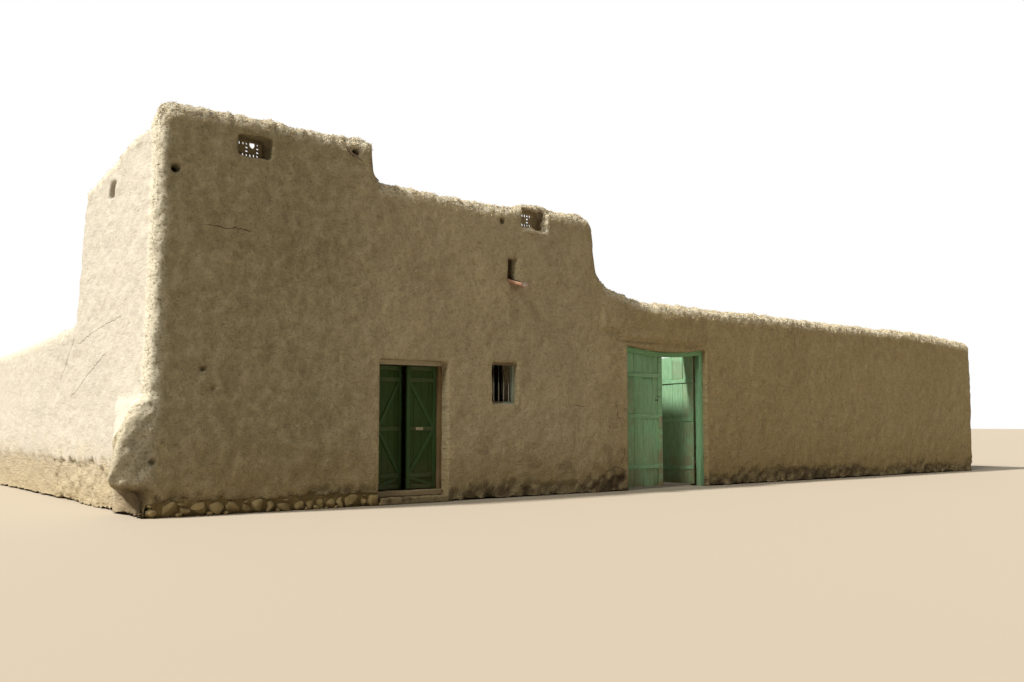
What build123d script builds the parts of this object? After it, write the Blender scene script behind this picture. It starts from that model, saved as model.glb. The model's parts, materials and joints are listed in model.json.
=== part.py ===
"""Mud-walled village house with a flat roof, joined to a walled yard with a gate.

X runs along the front to the right, Y runs from the front into the house, and Z is up.
All sizes are in millimetres. The model is built from the foot of the left front corner and
then moved, so that its origin is at the middle of its outline, on the ground.
"""
import math
import os

from build123d import *

# Walls of the house
FRONT_THICKNESS = 450
LEFT_THICKNESS = 450
RIGHT_THICKNESS = 450
TALL_TOP = 5385
TALL_END = 3200
TALL_FALL = 30
MIDDLE_TOP = 4740
HOUSE_RIGHT = 7620
HOUSE_DEPTH = 3860
ROOM_BACK = 3100
LEFT_BATTER = 100
BACK_BATTER = 460
TOP_ROUNDING = 100
CORNER_RADIUS = 130
STEP_RADIUS = 170
STEP_RUN = 60
STEP_TOE_RISE = 40
MIDDLE_SAG = 45
MIDDLE_SAG_RADIUS = 4000
SHOULDER_RADIUS = 300
SHOULDER_RISE = 60
SHOULDER_INSET = 65
TOE_OUT = 75
TOE_RADIUS = 420
LEFT_WALL_START_DOWN = 125
LEFT_WALL_START_TOP = TALL_TOP - LEFT_WALL_START_DOWN
LEFT_WALL_BACK_TOP = 4740
LEFT_WALL_SAG = 20
LEFT_WALL_MIDDLE_TOP = (LEFT_WALL_START_TOP + LEFT_WALL_BACK_TOP) / 2 - LEFT_WALL_SAG
RIGHT_WALL_START_DOWN = 120
RIGHT_WALL_BACK_TOP = 4300
RIGHT_WALL_SAG = 60
SIDE_WALL_BEND_RADIUS = 1500
SIDE_WALL_BEND_BACK = 100
BACK_WALL_TALL_TOP = 4700
BACK_WALL_LOW_TOP = 4250

# Walls of the yard
YARD_START = 7900
YARD_START_TOP = 3500
YARD_TOE_RISE = 170
YARD_CREST_RUN = 2600
YARD_CREST_FALL = 60
YARD_CREST_RADIUS = 6000
YARD_GATE_TOP = 3370
YARD_END_TOP = 3180
YARD_RIGHT = 20400
YARD_DEPTH = 9000
YARD_THICKNESS = 400
YARD_SPLIT = 15400
YARD_LEFT_TOP = 2690
YARD_LEFT_BACK_TOP = 2520
YARD_BACK_RIGHT_TOP = 2900

# Flared foot at the left corner
FLARE_OUT = 430
FLARE_TOP = 1480
FLARE_WAIST = 1060
FLARE_TIP = 500
FLARE_BACK = 1300
FLARE_UNDERCUT = 340

# Footing course under the tall part
FOOTING_START = 60
FOOTING_HEIGHT = 160
FOOTING_DEPTH = 260
FOOTING_PROUD = 45

# Floor and flat roof
FLOOR_TOP = 140
ROOF_UNDERSIDE = 3240
ROOF_FRONT_TOP = 3520
ROOF_FALL = 70
POLE_RADIUS = 65
POLE_PITCH = 620
POLE_BEARING = 160
SEAT_GAP = 0.3

# Door
DOOR_LEFT = 3360
DOOR_RIGHT = 4560
DOOR_TOP = 2125
DOOR_SETBACK = 170
DOOR_FRAME_DEPTH = 100
DOOR_JAMB = 62
DOOR_HEAD = 68
DOOR_STEP_HEIGHT = 100
DOOR_STEP_OUT = 60
THRESHOLD_HEIGHT = 90
THRESHOLD_DEPTH = 150
DOOR_LEAF_PANEL = 24
DOOR_LEAF_RAIL = 18
DOOR_LEFT_AJAR = 14
DOOR_STILE = 58
DOOR_RAIL = 66
DOOR_MID_RAIL_AT = 1100
DOOR_UPPER_RAIL_AT = 1840
DOOR_LOWER_RAIL_AT = 400
DOOR_BRACE = 52

# Gate
GATE_LEFT = 8410
GATE_RIGHT = 10480
GATE_TOP = 2565
GATE_DIP = 85
GATE_SETBACK = 100
GATE_FRAME_DEPTH = 110
GATE_JAMB = 90
GATE_HEAD = 85
GATE_TOP_GAP = 14
GATE_GROUND_GAP = 35
GATE_LEAF_PANEL = 28
GATE_LEAF_RAIL = 20
GATE_STILE = 95
GATE_RAIL = 70
GATE_LEFT_RAILS_AT = (395, 1310, 2050)
GATE_RIGHT_RAILS_AT = (345, 1255, 1990)
GATE_RIGHT_OPEN = 80
GATE_RIGHT_SAG = 35

# Pintle hinges
LEAF_GAP = 6
MEETING_GAP = 14
HINGE_OUT = 20
BARREL_RADIUS = 13
PIN_RADIUS = 8
PIN_CLEARANCE = 0.3
BARREL_HEIGHT = 60
PINTLE_HEIGHT = 22
PINTLE_REACH = 50
STRAP_HEIGHT = 38
STRAP_LENGTH = 260
STRAP_THICKNESS = 8
DOOR_HINGES_AT = (430, 1760)
GATE_HINGES_AT = (480, 2020)

# Window
WINDOW_LEFT = 5410
WINDOW_RIGHT = 5930
WINDOW_BOTTOM = 1480
WINDOW_TOP = 2160
WINDOW_SETBACK = 100
WINDOW_FRAME_DEPTH = 70
WINDOW_FRAME = 45

# Pierced lattices: three steps to a cell, a round hole at each cell corner
LATTICE_CELL = 3
LATTICE_STEP = 53
LATTICE_RIM = 40
LATTICE_DOT_RADIUS = 17
LATTICE_SLOT_WIDTH = 25
LATTICE_SLOT_LENGTH = 46
LATTICE_THICKNESS = 50
FRONT_VENT_LEFT = 1130
FRONT_VENT_DOWN = 595
FRONT_VENT_BOTTOM = TALL_TOP - FRONT_VENT_DOWN
FRONT_VENT_WIDTH = 500
FRONT_VENT_HEIGHT = 310
FRONT_VENT_SETBACK = 360
FRONT_VENT_MARGINS = (68, 34)
MIDDLE_VENT_IN = 1600
MIDDLE_VENT_DOWN = 365
MIDDLE_VENT_LEFT = HOUSE_RIGHT - MIDDLE_VENT_IN
MIDDLE_VENT_BOTTOM = MIDDLE_TOP - MIDDLE_VENT_DOWN
MIDDLE_VENT_WIDTH = 520
MIDDLE_VENT_HEIGHT = 360
MIDDLE_VENT_SETBACK = 250
MIDDLE_VENT_MARGINS = (61, 87)
VENT_HOOD = 60
VENT_HOOD_RUN = 60
VENT_HOOD_RADIUS = 200
SIDE_VENT_START = 1860
SIDE_VENT_DOWN = 590
SIDE_VENT_BOTTOM = LEFT_WALL_MIDDLE_TOP - SIDE_VENT_DOWN
SIDE_VENT_WIDTH = 320
SIDE_VENT_HEIGHT = 250
SIDE_VENT_SETBACK = 300
SIDE_VENT_MARGINS = (54, 46)

# Drain slot and spout
SLOT_CENTRE = 5800
SLOT_TOP_WIDTH = 200
SLOT_FOOT_WIDTH = 150
SLOT_BOTTOM = ROOF_FRONT_TOP - 10
SLOT_HEIGHT = 360
SPOUT_RADIUS = 80
SPOUT_WALL = 14
SPOUT_OUT = 360
SPOUT_IN = 200
SPOUT_SLOPE = 16

# Peg holes
PEG_HOLE_RADIUS = 38
PEG_HOLE_DEPTH = 220
CORNER_HOLE_IN = 200
CORNER_HOLE_DOWN = 909
STICK_HOLE_IN = 269
STICK_HOLE_DOWN = 261
MIDDLE_HOLE_IN = 414
MIDDLE_HOLE_DOWN = 294
STICK_ROOT_IN = 410
STICK_ROOT_DOWN = 255
CORNER_HOLE = (LEFT_BATTER + CORNER_HOLE_IN, TALL_TOP - CORNER_HOLE_DOWN)
STICK_HOLE = (TALL_END - STICK_HOLE_IN, TALL_TOP - STICK_HOLE_DOWN)
MIDDLE_HOLE = (MIDDLE_VENT_LEFT - MIDDLE_HOLE_IN, MIDDLE_TOP - MIDDLE_HOLE_DOWN)
STICK_ROOT = (TALL_END - STICK_ROOT_IN, TALL_TOP - STICK_ROOT_DOWN)
STICK_WAY = (0.53, -0.57, -0.63)
STICK_RADIUS = 11
STICK_OUT = 270
STICK_IN = 110

# Reach of the shapes that only cut, past every face of the object
LARGE = 30000

# The bounding outline of the whole object, from the values above
OUTLINE_LEFT = -FLARE_OUT
OUTLINE_FRONT = -SPOUT_OUT
ORIGIN_X = (OUTLINE_LEFT + YARD_RIGHT) / 2
ORIGIN_Y = (OUTLINE_FRONT + YARD_DEPTH) / 2


def block(x0, x1, y0, y1, z0, z1):
    """A straight block between two corners."""
    middle = ((x0 + x1) / 2, (y0 + y1) / 2, (z0 + z1) / 2)
    return Pos(*middle) * Box(x1 - x0, y1 - y0, z1 - z0)


def elevation(corners, y0, y1):
    """An outline of (x, z, radius) corners in front view, carried back from y0 to y1."""
    return _carry(corners, Plane((0, y1, 0), x_dir=(1, 0, 0), z_dir=(0, -1, 0)), y1 - y0)


def side_elevation(corners, x0, x1):
    """An outline of (y, z, radius) corners in side view, carried across from x0 to x1."""
    return _carry(corners, Plane((x0, 0, 0), x_dir=(0, 1, 0), z_dir=(1, 0, 0)), x1 - x0)


def plan(corners, z0, z1):
    """An outline of (x, y, radius) corners in plan, carried up from z0 to z1."""
    return _carry(corners, Plane((0, 0, z0)), z1 - z0)


def _carry(corners, plane, amount):
    points = [(a, b) for a, b, _ in corners]
    radii = [radius for _, _, radius in corners]
    if max(radii) > 0:
        line = FilletPolyline(*points, radius=radii, close=True)
    else:
        line = Polyline(*points, close=True)
    return extrude(plane * make_face(line), amount=amount)


def round_top(solid, radius, keep):
    """Round the edges of a solid that keep() picks."""
    return fillet([edge for edge in solid.edges() if keep(edge)], radius)


def lies_at_y(edge, y):
    box = edge.bounding_box()
    return abs(box.min.Y - y) < 0.01 and abs(box.max.Y - y) < 0.01


def lies_at_x(edge, x):
    box = edge.bounding_box()
    return abs(box.min.X - x) < 0.01 and abs(box.max.X - x) < 0.01


def is_top_line(edge):
    """True for an edge of the outline that is not on the ground."""
    return edge.bounding_box().max.Z > 1


def crest(part):
    """The top line of the middle part, from its lowest place at 0 to its shoulder at 1."""
    start = ((TALL_END + HOUSE_RIGHT) / 2, MIDDLE_TOP - MIDDLE_SAG)
    end = (HOUSE_RIGHT - SHOULDER_INSET, MIDDLE_TOP + SHOULDER_RISE)
    return tuple(a + (b - a) * part for a, b in zip(start, end))


def crest_at(x, rise, radius):
    """A corner of the outline that stands above the top line of the middle part by rise."""
    start = crest(0)[0]
    part = (x - start) / (crest(1)[0] - start)
    return x, crest(part)[1] + rise, radius


def vent_hood():
    """The corners of the low hump over the middle vent."""
    left = MIDDLE_VENT_LEFT
    right = MIDDLE_VENT_LEFT + MIDDLE_VENT_WIDTH
    return [
        crest_at(left - 2 * VENT_HOOD_RUN, 0, VENT_HOOD_RADIUS),
        crest_at(left + VENT_HOOD_RUN / 2, VENT_HOOD, VENT_HOOD_RADIUS),
        crest_at(right - VENT_HOOD_RUN, VENT_HOOD, VENT_HOOD_RADIUS),
        crest_at(right + 2 * VENT_HOOD_RUN, 0, VENT_HOOD_RADIUS),
    ]


def front_mass():
    """The front of house and yard in one outline, rounded along its top and left corner."""
    corners = [
        (0, 0, 0),
        (LEFT_BATTER, TALL_TOP, CORNER_RADIUS),
        (TALL_END, TALL_TOP - TALL_FALL, CORNER_RADIUS),
        (TALL_END + STEP_RUN, MIDDLE_TOP + STEP_TOE_RISE, STEP_RADIUS),
        (*crest(0), MIDDLE_SAG_RADIUS),
        *vent_hood(),
        (*crest(1), SHOULDER_RADIUS),
        (HOUSE_RIGHT + TOE_OUT, YARD_START_TOP + YARD_TOE_RISE, TOE_RADIUS),
        (GATE_LEFT, YARD_START_TOP - STEP_TOE_RISE, 2 * SHOULDER_RADIUS),
        (GATE_LEFT + FRONT_THICKNESS, YARD_GATE_TOP, 3 * SHOULDER_RADIUS),
        (YARD_RIGHT - YARD_CREST_RUN, YARD_GATE_TOP - YARD_CREST_FALL, YARD_CREST_RADIUS),
        (YARD_RIGHT, YARD_END_TOP, CORNER_RADIUS),
        (YARD_RIGHT, 0, 0),
    ]
    mass = elevation(corners, 0, FRONT_THICKNESS)
    left = mass & block(-LARGE, LEFT_THICKNESS, -LARGE, LARGE, -LARGE, LARGE)
    middle = mass & block(LEFT_THICKNESS, YARD_RIGHT - YARD_THICKNESS, -LARGE, LARGE, -LARGE, LARGE)
    right = mass & block(YARD_RIGHT - YARD_THICKNESS, LARGE, -LARGE, LARGE, -LARGE, LARGE)

    def near(edge):
        return lies_at_y(edge, 0) and is_top_line(edge) and not is_upright_inside(edge)

    def near_or_far(edge):
        return near(edge) or (lies_at_y(edge, FRONT_THICKNESS) and is_top_line(edge)
                              and not is_upright_inside(edge))

    left = round_top(left, TOP_ROUNDING, near)
    middle = round_top(middle, TOP_ROUNDING, near_or_far)
    right = round_top(right, TOP_ROUNDING, near)
    return left, middle, right


def is_upright_inside(edge):
    """True for the upright edges where the front outline is divided."""
    box = edge.bounding_box()
    upright = box.max.X - box.min.X < 0.01
    return upright and (abs(box.min.X - LEFT_THICKNESS) < 0.01
                        or abs(box.min.X - (YARD_RIGHT - YARD_THICKNESS)) < 0.01)


def lattice_stops(size, margin):
    """The places of the holes along one side, from margin inside its far end."""
    count = int((size - margin - LATTICE_RIM) // LATTICE_STEP) + 1
    return [size / 2 - margin - i * LATTICE_STEP for i in range(count)]


def lattice(width, height, margins):
    """A pierced grille: round holes at cell corners, two slots along each cell side."""
    holes = []
    for column, x in enumerate(lattice_stops(width, margins[0])):
        for row, y in enumerate(lattice_stops(height, margins[1])):
            on_column = column % LATTICE_CELL == 0
            on_row = row % LATTICE_CELL == 0
            if on_column and on_row:
                holes.append(Pos(x, y) * RegularPolygon(LATTICE_DOT_RADIUS, 8))
            elif on_row:
                holes.append(Pos(x, y) * Rectangle(LATTICE_SLOT_WIDTH, LATTICE_SLOT_LENGTH))
            elif on_column:
                holes.append(Pos(x, y) * Rectangle(LATTICE_SLOT_LENGTH, LATTICE_SLOT_WIDTH))
    return Rectangle(width, height) - holes


def front_lattice(left, bottom, width, height, setback, margins):
    """A grille standing in a vent of the front wall."""
    face = Plane((left + width / 2, setback + LATTICE_THICKNESS, bottom + height / 2),
                 x_dir=(1, 0, 0), z_dir=(0, -1, 0)) * lattice(width, height, margins)
    return extrude(face, amount=LATTICE_THICKNESS)


def side_lattice():
    """The grille in the vent of the left wall."""
    face = Plane((SIDE_VENT_SETBACK, SIDE_VENT_START + SIDE_VENT_WIDTH / 2,
                  SIDE_VENT_BOTTOM + SIDE_VENT_HEIGHT / 2), x_dir=(0, 1, 0), z_dir=(1, 0, 0))
    face *= lattice(SIDE_VENT_WIDTH, SIDE_VENT_HEIGHT, SIDE_VENT_MARGINS)
    return extrude(face, amount=LATTICE_THICKNESS)


def vent(left, bottom, width, height):
    """The hole of a vent through the front wall."""
    return block(left, left + width, -LARGE, LARGE, bottom, bottom + height)


def gate_bow_radius():
    """The radius of the soffit over the gate, which hangs lowest at its middle."""
    half = (GATE_RIGHT - GATE_LEFT) / 2
    return (half * half + GATE_DIP * GATE_DIP) / (2 * GATE_DIP)


def above_bow(drop):
    """What lies above the bowed soffit, lowered by drop."""
    radius = gate_bow_radius()
    middle = (GATE_LEFT + GATE_RIGHT) / 2
    return Pos(middle, 0, GATE_TOP - GATE_DIP - drop + radius) * Rot(90, 0, 0) * Cylinder(radius, LARGE)


def gate_hole():
    """The gateway, whose mud soffit hangs lower at its middle."""
    return block(GATE_LEFT, GATE_RIGHT, -LARGE, LARGE, -LARGE, GATE_TOP) - above_bow(0)


def gate_frame(y0, y1):
    """Two posts and a head that is bowed like the soffit above it."""
    frame = block(GATE_LEFT, GATE_RIGHT, y0, y1, 0, GATE_TOP) - above_bow(SEAT_GAP)
    inside = block(GATE_LEFT + GATE_JAMB, GATE_RIGHT - GATE_JAMB, y0 - 1, y1 + 1, -1, GATE_TOP)
    return frame - (inside - above_bow(SEAT_GAP + GATE_HEAD))


def drain_slot():
    """The upright slot at roof level through the front wall, narrower at its foot."""
    corners = [
        (SLOT_CENTRE - SLOT_FOOT_WIDTH / 2, SLOT_BOTTOM, 0),
        (SLOT_CENTRE - SLOT_TOP_WIDTH / 2, SLOT_BOTTOM + SLOT_HEIGHT, SLOT_TOP_WIDTH / 5),
        (SLOT_CENTRE + SLOT_TOP_WIDTH / 2, SLOT_BOTTOM + SLOT_HEIGHT, SLOT_TOP_WIDTH / 5),
        (SLOT_CENTRE + SLOT_FOOT_WIDTH / 2, SLOT_BOTTOM, 0),
    ]
    return elevation(corners, -LARGE / 10, LARGE / 10)


def spout_place():
    """The spout's frame: its foot rests in the slot and it slopes down to the front."""
    return Pos(SLOT_CENTRE, 0, SLOT_BOTTOM) * Rot(90 + SPOUT_SLOPE, 0, 0)


def half_ring(outer, inner):
    """The lower half of a ring, open upward."""
    ring = Circle(outer)
    if inner > 0:
        ring -= Circle(inner)
    return ring & Pos(0, -outer) * Rectangle(2 * outer, 2 * outer)


def rain_spout():
    """A half-round clay channel through the wall's slot."""
    length = SPOUT_OUT / math.cos(math.radians(SPOUT_SLOPE))
    tail = SPOUT_IN / math.cos(math.radians(SPOUT_SLOPE))
    channel = extrude(half_ring(SPOUT_RADIUS, SPOUT_RADIUS - SPOUT_WALL), amount=length)
    channel += extrude(half_ring(SPOUT_RADIUS, SPOUT_RADIUS - SPOUT_WALL), amount=-tail)
    return spout_place() * channel


def spout_bed():
    """The trough in the mud that the spout is bedded in, with a thin gap all round."""
    radius = SPOUT_RADIUS + SEAT_GAP
    tail = SPOUT_IN / math.cos(math.radians(SPOUT_SLOPE)) + SEAT_GAP
    trough = half_ring(radius, 0) + Pos(0, radius) * Rectangle(2 * radius, 2 * radius)
    bed = extrude(trough, amount=LARGE / 20) + extrude(trough, amount=-tail)
    return spout_place() * bed


def peg_hole(at):
    """A round hole left by a building pole, in the front face."""
    hole = Cylinder(PEG_HOLE_RADIUS, PEG_HOLE_DEPTH + 2)
    return Pos(at[0], PEG_HOLE_DEPTH / 2 - 1, at[1]) * Rot(90, 0, 0) * hole


def wall_stick(radius, inside):
    """A stick bedded in the wall beside a hole, pointing out and down to the right."""
    axis = Plane((STICK_ROOT[0], 0, STICK_ROOT[1]), z_dir=STICK_WAY)
    return axis * Pos(0, 0, (STICK_OUT - inside) / 2) * Cylinder(radius, STICK_OUT + inside)


def pole_places():
    """The places of the roof poles along X."""
    span = HOUSE_RIGHT - RIGHT_THICKNESS - LEFT_THICKNESS
    count = int(span // POLE_PITCH)
    first = LEFT_THICKNESS + (span - (count - 1) * POLE_PITCH) / 2
    return [first + i * POLE_PITCH for i in range(count)]


def pole(x, radius, bearing):
    """One roof pole, or the socket for it."""
    start = FRONT_THICKNESS - bearing
    end = ROOM_BACK + bearing
    height = ROOF_UNDERSIDE - SEAT_GAP - POLE_RADIUS
    return Pos(x, (start + end) / 2, height) * Rot(90, 0, 0) * Cylinder(radius, end - start)


def footing():
    """The course of stones in the foot of the tall front wall."""
    return block(FOOTING_START, DOOR_LEFT, -FOOTING_PROUD, FOOTING_DEPTH, 0, FOOTING_HEIGHT)


def corner_foot(walls):
    """The lump of mud that flares out at the left corner and is worn away underneath."""
    inside = LEFT_THICKNESS / 2
    front_view = [
        (inside, 0, 0),
        (inside, FLARE_TOP, 0),
        (-FLARE_OUT / 8, FLARE_TOP, 60),
        (-FLARE_OUT * 0.68, FLARE_WAIST, 500),
        (-FLARE_OUT, FLARE_TIP + 60, 90),
        (-FLARE_OUT, FLARE_TIP - 60, 50),
        (-FLARE_OUT + FLARE_UNDERCUT, FLARE_TIP / 2, 120),
        (-FLARE_OUT + FLARE_UNDERCUT, 0, 0),
    ]
    plan_view = [
        (LEFT_THICKNESS, 0, 0),
        (-FLARE_OUT, 0, 70),
        (-FLARE_OUT, FLARE_BACK / 12, 0),
        (-FLARE_OUT * 0.7, FLARE_BACK / 4, 500),
        (0, FLARE_BACK, 0),
        (LEFT_THICKNESS, FLARE_BACK, 0),
    ]
    lump = elevation(front_view, 0, FLARE_BACK) & plan(plan_view, 0, FLARE_TOP)
    for wall in walls:
        lump -= wall
    return lump


def jamb_frame(left, right, bottom, top, jamb, head, y0, y1):
    """Two uprights and a head, let into the wall opening."""
    frame = block(left, right, y0, y1, bottom, top)
    return frame - block(left + jamb, right - jamb, y0 - 1, y1 + 1, bottom - 1, top - head)


def bar_between(start, end, width):
    """A flat bar in the leaf's own plane, from point to point, past both."""
    dx = end[0] - start[0]
    dz = end[1] - start[1]
    length = math.hypot(dx, dz)
    angle = math.degrees(math.atan2(dz, dx))
    middle = ((start[0] + end[0]) / 2, (start[1] + end[1]) / 2)
    return Pos(*middle) * Rot(0, 0, angle) * Rectangle(length + width, width)


def sloped_rail(width, at, height, drop):
    """A rail across a leaf, lower at its free end by drop."""
    points = [
        (0, at - height / 2),
        (width, at - height / 2 - drop),
        (width, at + height / 2 - drop),
        (0, at + height / 2),
    ]
    return make_face(Polyline(*points, close=True))


def leaf_solid(outline, pattern, panel, rail):
    """A leaf in its own frame: back face at y = 0, panel in front of it, rails on the panel."""
    upright = Plane((0, 0, 0), x_dir=(1, 0, 0), z_dir=(0, -1, 0))
    body = extrude(upright * outline, amount=panel)
    raised = extrude(upright * (pattern & outline), amount=panel + rail)
    return body + raised


def door_leaf(width, bottom, top):
    """A braced leaf: stiles, five rails and three braces on a board panel. x = 0 at the hinge."""
    outline = Pos(width / 2, (bottom + top) / 2) * Rectangle(width, top - bottom)
    pattern = Pos(DOOR_STILE / 2, (bottom + top) / 2) * Rectangle(DOOR_STILE, top - bottom)
    pattern += Pos(width - DOOR_STILE / 2, (bottom + top) / 2) * Rectangle(DOOR_STILE, top - bottom)
    rails = [
        bottom + DOOR_RAIL / 4,
        DOOR_LOWER_RAIL_AT,
        DOOR_MID_RAIL_AT,
        DOOR_UPPER_RAIL_AT,
        top - DOOR_RAIL / 2,
    ]
    for at in rails:
        pattern += sloped_rail(width, at, DOOR_RAIL, 0)
    free = width - DOOR_STILE
    half = DOOR_RAIL / 2
    braces = [
        ((free, DOOR_UPPER_RAIL_AT - half), (DOOR_STILE, DOOR_MID_RAIL_AT + half)),
        ((DOOR_STILE, DOOR_MID_RAIL_AT - half), (free, DOOR_LOWER_RAIL_AT + half)),
        ((free, DOOR_LOWER_RAIL_AT - half), (DOOR_STILE, bottom + half)),
    ]
    for start, end in braces:
        pattern += bar_between(start, end, DOOR_BRACE)
    return leaf_solid(outline, pattern, DOOR_LEAF_PANEL, DOOR_LEAF_RAIL)


def gate_leaf(width, bottom, rails, sag):
    """A ledged leaf under the bowed head: rails and a meeting stile on upright boards. x = 0 at the hinge."""
    radius = gate_bow_radius()
    lean = sag / width
    middle = (GATE_RIGHT - GATE_LEFT) / 2 - GATE_JAMB - LEAF_GAP + lean * radius
    lowest = GATE_TOP - GATE_DIP - SEAT_GAP - GATE_HEAD - GATE_TOP_GAP - sag - lean * lean * radius / 2
    upright = (bottom + GATE_TOP) / 2
    outline = Pos(width / 2, upright) * Rectangle(width, GATE_TOP - bottom)
    outline -= Pos(middle, lowest + radius) * Circle(radius)
    pattern = Pos(width - GATE_STILE / 2, upright) * Rectangle(GATE_STILE, GATE_TOP - bottom)
    for at in rails:
        pattern += sloped_rail(width, at, GATE_RAIL, sag)
    return leaf_solid(outline, pattern, GATE_LEAF_PANEL, GATE_LEAF_RAIL)


def strap(at):
    """The leaf's half of a pintle hinge: a long strap and an eye that turns on the pin."""
    plate = block(0, STRAP_LENGTH, -HINGE_OUT, -HINGE_OUT + STRAP_THICKNESS,
                  at - STRAP_HEIGHT / 2, at + STRAP_HEIGHT / 2)
    eye = Pos(0, 0, at) * Cylinder(BARREL_RADIUS, BARREL_HEIGHT)
    neck = block(0, BARREL_RADIUS, -HINGE_OUT, 0,
                 at - STRAP_HEIGHT / 2, at + STRAP_HEIGHT / 2)
    bore = Pos(0, 0, at) * Cylinder(PIN_RADIUS + PIN_CLEARANCE, BARREL_HEIGHT + 2)
    return plate + neck + eye - bore


def pintle(at):
    """The jamb's half: a plate on the jamb, a shelf below the eye and the pin on it."""
    shelf_top = at - BARREL_HEIGHT / 2 - PIN_CLEARANCE
    reach = LEAF_GAP + PINTLE_REACH
    plate = block(-reach, -LEAF_GAP, -HINGE_OUT, -HINGE_OUT + STRAP_THICKNESS,
                  shelf_top - 2 * PINTLE_HEIGHT, shelf_top)
    arm = block(-reach, 0, -HINGE_OUT, -HINGE_OUT + 2 * STRAP_THICKNESS,
                shelf_top - PINTLE_HEIGHT, shelf_top)
    shelf = Pos(0, 0, shelf_top - PINTLE_HEIGHT / 2) * Cylinder(BARREL_RADIUS, PINTLE_HEIGHT)
    pin_height = BARREL_HEIGHT + PINTLE_HEIGHT
    pin = Pos(0, 0, shelf_top - PINTLE_HEIGHT + pin_height / 2) * Cylinder(PIN_RADIUS, pin_height)
    return plate + arm + shelf + pin


def hang(leaf, hinges, x, y, mirrored, angle):
    """Hang a leaf and its straps on the axis at (x, y), turned inward by angle."""
    hung = Pos(LEAF_GAP / 2, -HINGE_OUT, 0) * leaf
    for at in hinges:
        hung += strap(at)
    if mirrored:
        hung = mirror(hung, about=Plane.YZ)
        angle = -angle
    return Pos(x, y, 0) * Rot(0, 0, angle) * hung


def pintles(hinges, x, y, mirrored):
    """The pintles of one jamb."""
    pieces = []
    for at in hinges:
        piece = pintle(at)
        if mirrored:
            piece = mirror(piece, about=Plane.YZ)
        pieces.append(Pos(x, y, 0) * piece)
    return pieces


def side_wall(x0, x1, start_top, middle_top, back_top):
    """A side wall of the house: its top slopes down to the back and its back face leans in."""
    corners = [
        (FRONT_THICKNESS, 0, 0),
        (HOUSE_DEPTH, 0, 0),
        (HOUSE_DEPTH - BACK_BATTER, back_top, CORNER_RADIUS),
        ((FRONT_THICKNESS + ROOM_BACK) / 2 + SIDE_WALL_BEND_BACK, middle_top, SIDE_WALL_BEND_RADIUS),
        (FRONT_THICKNESS, start_top, 0),
    ]
    wall = side_elevation(corners, x0, x1)

    def on_top(edge):
        box = edge.bounding_box()
        at_side = lies_at_x(edge, x0) or lies_at_x(edge, x1)
        behind_front = box.min.Y > FRONT_THICKNESS - 0.01 and box.max.Y > FRONT_THICKNESS + 1
        return at_side and behind_front and box.max.Z > 1

    return wall, on_top


def left_wall():
    """The left wall, with its outer face battered like the front's left end."""
    lean = LEFT_BATTER / TALL_TOP
    wall, _ = side_wall(-LEFT_THICKNESS, LEFT_THICKNESS, LEFT_WALL_START_TOP, LEFT_WALL_MIDDLE_TOP,
                        LEFT_WALL_BACK_TOP)
    wedge = [
        (0, 0, 0),
        (LEFT_THICKNESS, 0, 0),
        (LEFT_THICKNESS, TALL_TOP, 0),
        (lean * TALL_TOP, TALL_TOP, 0),
    ]
    wall &= elevation(wedge, FRONT_THICKNESS, HOUSE_DEPTH)

    def on_top(edge):
        box = edge.bounding_box()
        crosses = box.max.X - box.min.X > LEFT_THICKNESS / 2
        at_front = box.max.Y < FRONT_THICKNESS + 1
        on_ground = box.max.Z < 1
        return not crosses and not at_front and not on_ground

    return round_top(wall, TOP_ROUNDING, on_top)


def right_wall():
    """The right wall of the house, facing the yard."""
    middle_top = (MIDDLE_TOP + RIGHT_WALL_BACK_TOP) / 2 - RIGHT_WALL_SAG
    wall, on_top = side_wall(HOUSE_RIGHT - RIGHT_THICKNESS, HOUSE_RIGHT, MIDDLE_TOP - RIGHT_WALL_START_DOWN,
                             middle_top, RIGHT_WALL_BACK_TOP)
    return round_top(wall, TOP_ROUNDING, on_top)


def back_wall():
    """The back wall of the house, stepped like the front and leaning in."""
    x0 = LEFT_THICKNESS
    x1 = HOUSE_RIGHT - RIGHT_THICKNESS
    front_view = [
        (x0, 0, 0),
        (x0, BACK_WALL_TALL_TOP, 0),
        (TALL_END, BACK_WALL_TALL_TOP, CORNER_RADIUS),
        (TALL_END + STEP_RUN, BACK_WALL_LOW_TOP, STEP_RADIUS),
        (x1, BACK_WALL_LOW_TOP, 0),
        (x1, 0, 0),
    ]
    lean = BACK_BATTER / BACK_WALL_TALL_TOP
    side_view = [
        (ROOM_BACK, 0, 0),
        (HOUSE_DEPTH, 0, 0),
        (HOUSE_DEPTH - lean * BACK_WALL_TALL_TOP, BACK_WALL_TALL_TOP, 0),
        (ROOM_BACK, BACK_WALL_TALL_TOP, 0),
    ]
    return elevation(front_view, ROOM_BACK, HOUSE_DEPTH) & side_elevation(side_view, x0, x1)


def yard_side(x0, x1, start, end, start_top, end_top):
    """A yard wall that runs back, with a rounded top."""
    corners = [
        (start, 0, 0),
        (end, 0, 0),
        (end, end_top, 0),
        (start, start_top, 0),
    ]
    wall = side_elevation(corners, x0, x1)

    def along_top(edge):
        box = edge.bounding_box()
        return box.max.Y - box.min.Y > 100 and box.max.Z > 1

    return round_top(wall, TOP_ROUNDING, along_top)


def yard_back():
    """The back wall of the yard."""
    corners = [
        (0, 0, 0),
        (0, YARD_LEFT_BACK_TOP, 0),
        (YARD_RIGHT, YARD_BACK_RIGHT_TOP, 0),
        (YARD_RIGHT, 0, 0),
    ]
    wall = elevation(corners, YARD_DEPTH - YARD_THICKNESS, YARD_DEPTH)

    def along_top(edge):
        box = edge.bounding_box()
        return box.max.X - box.min.X > 100 and box.max.Z > 1

    return round_top(wall, TOP_ROUNDING, along_top)


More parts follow.
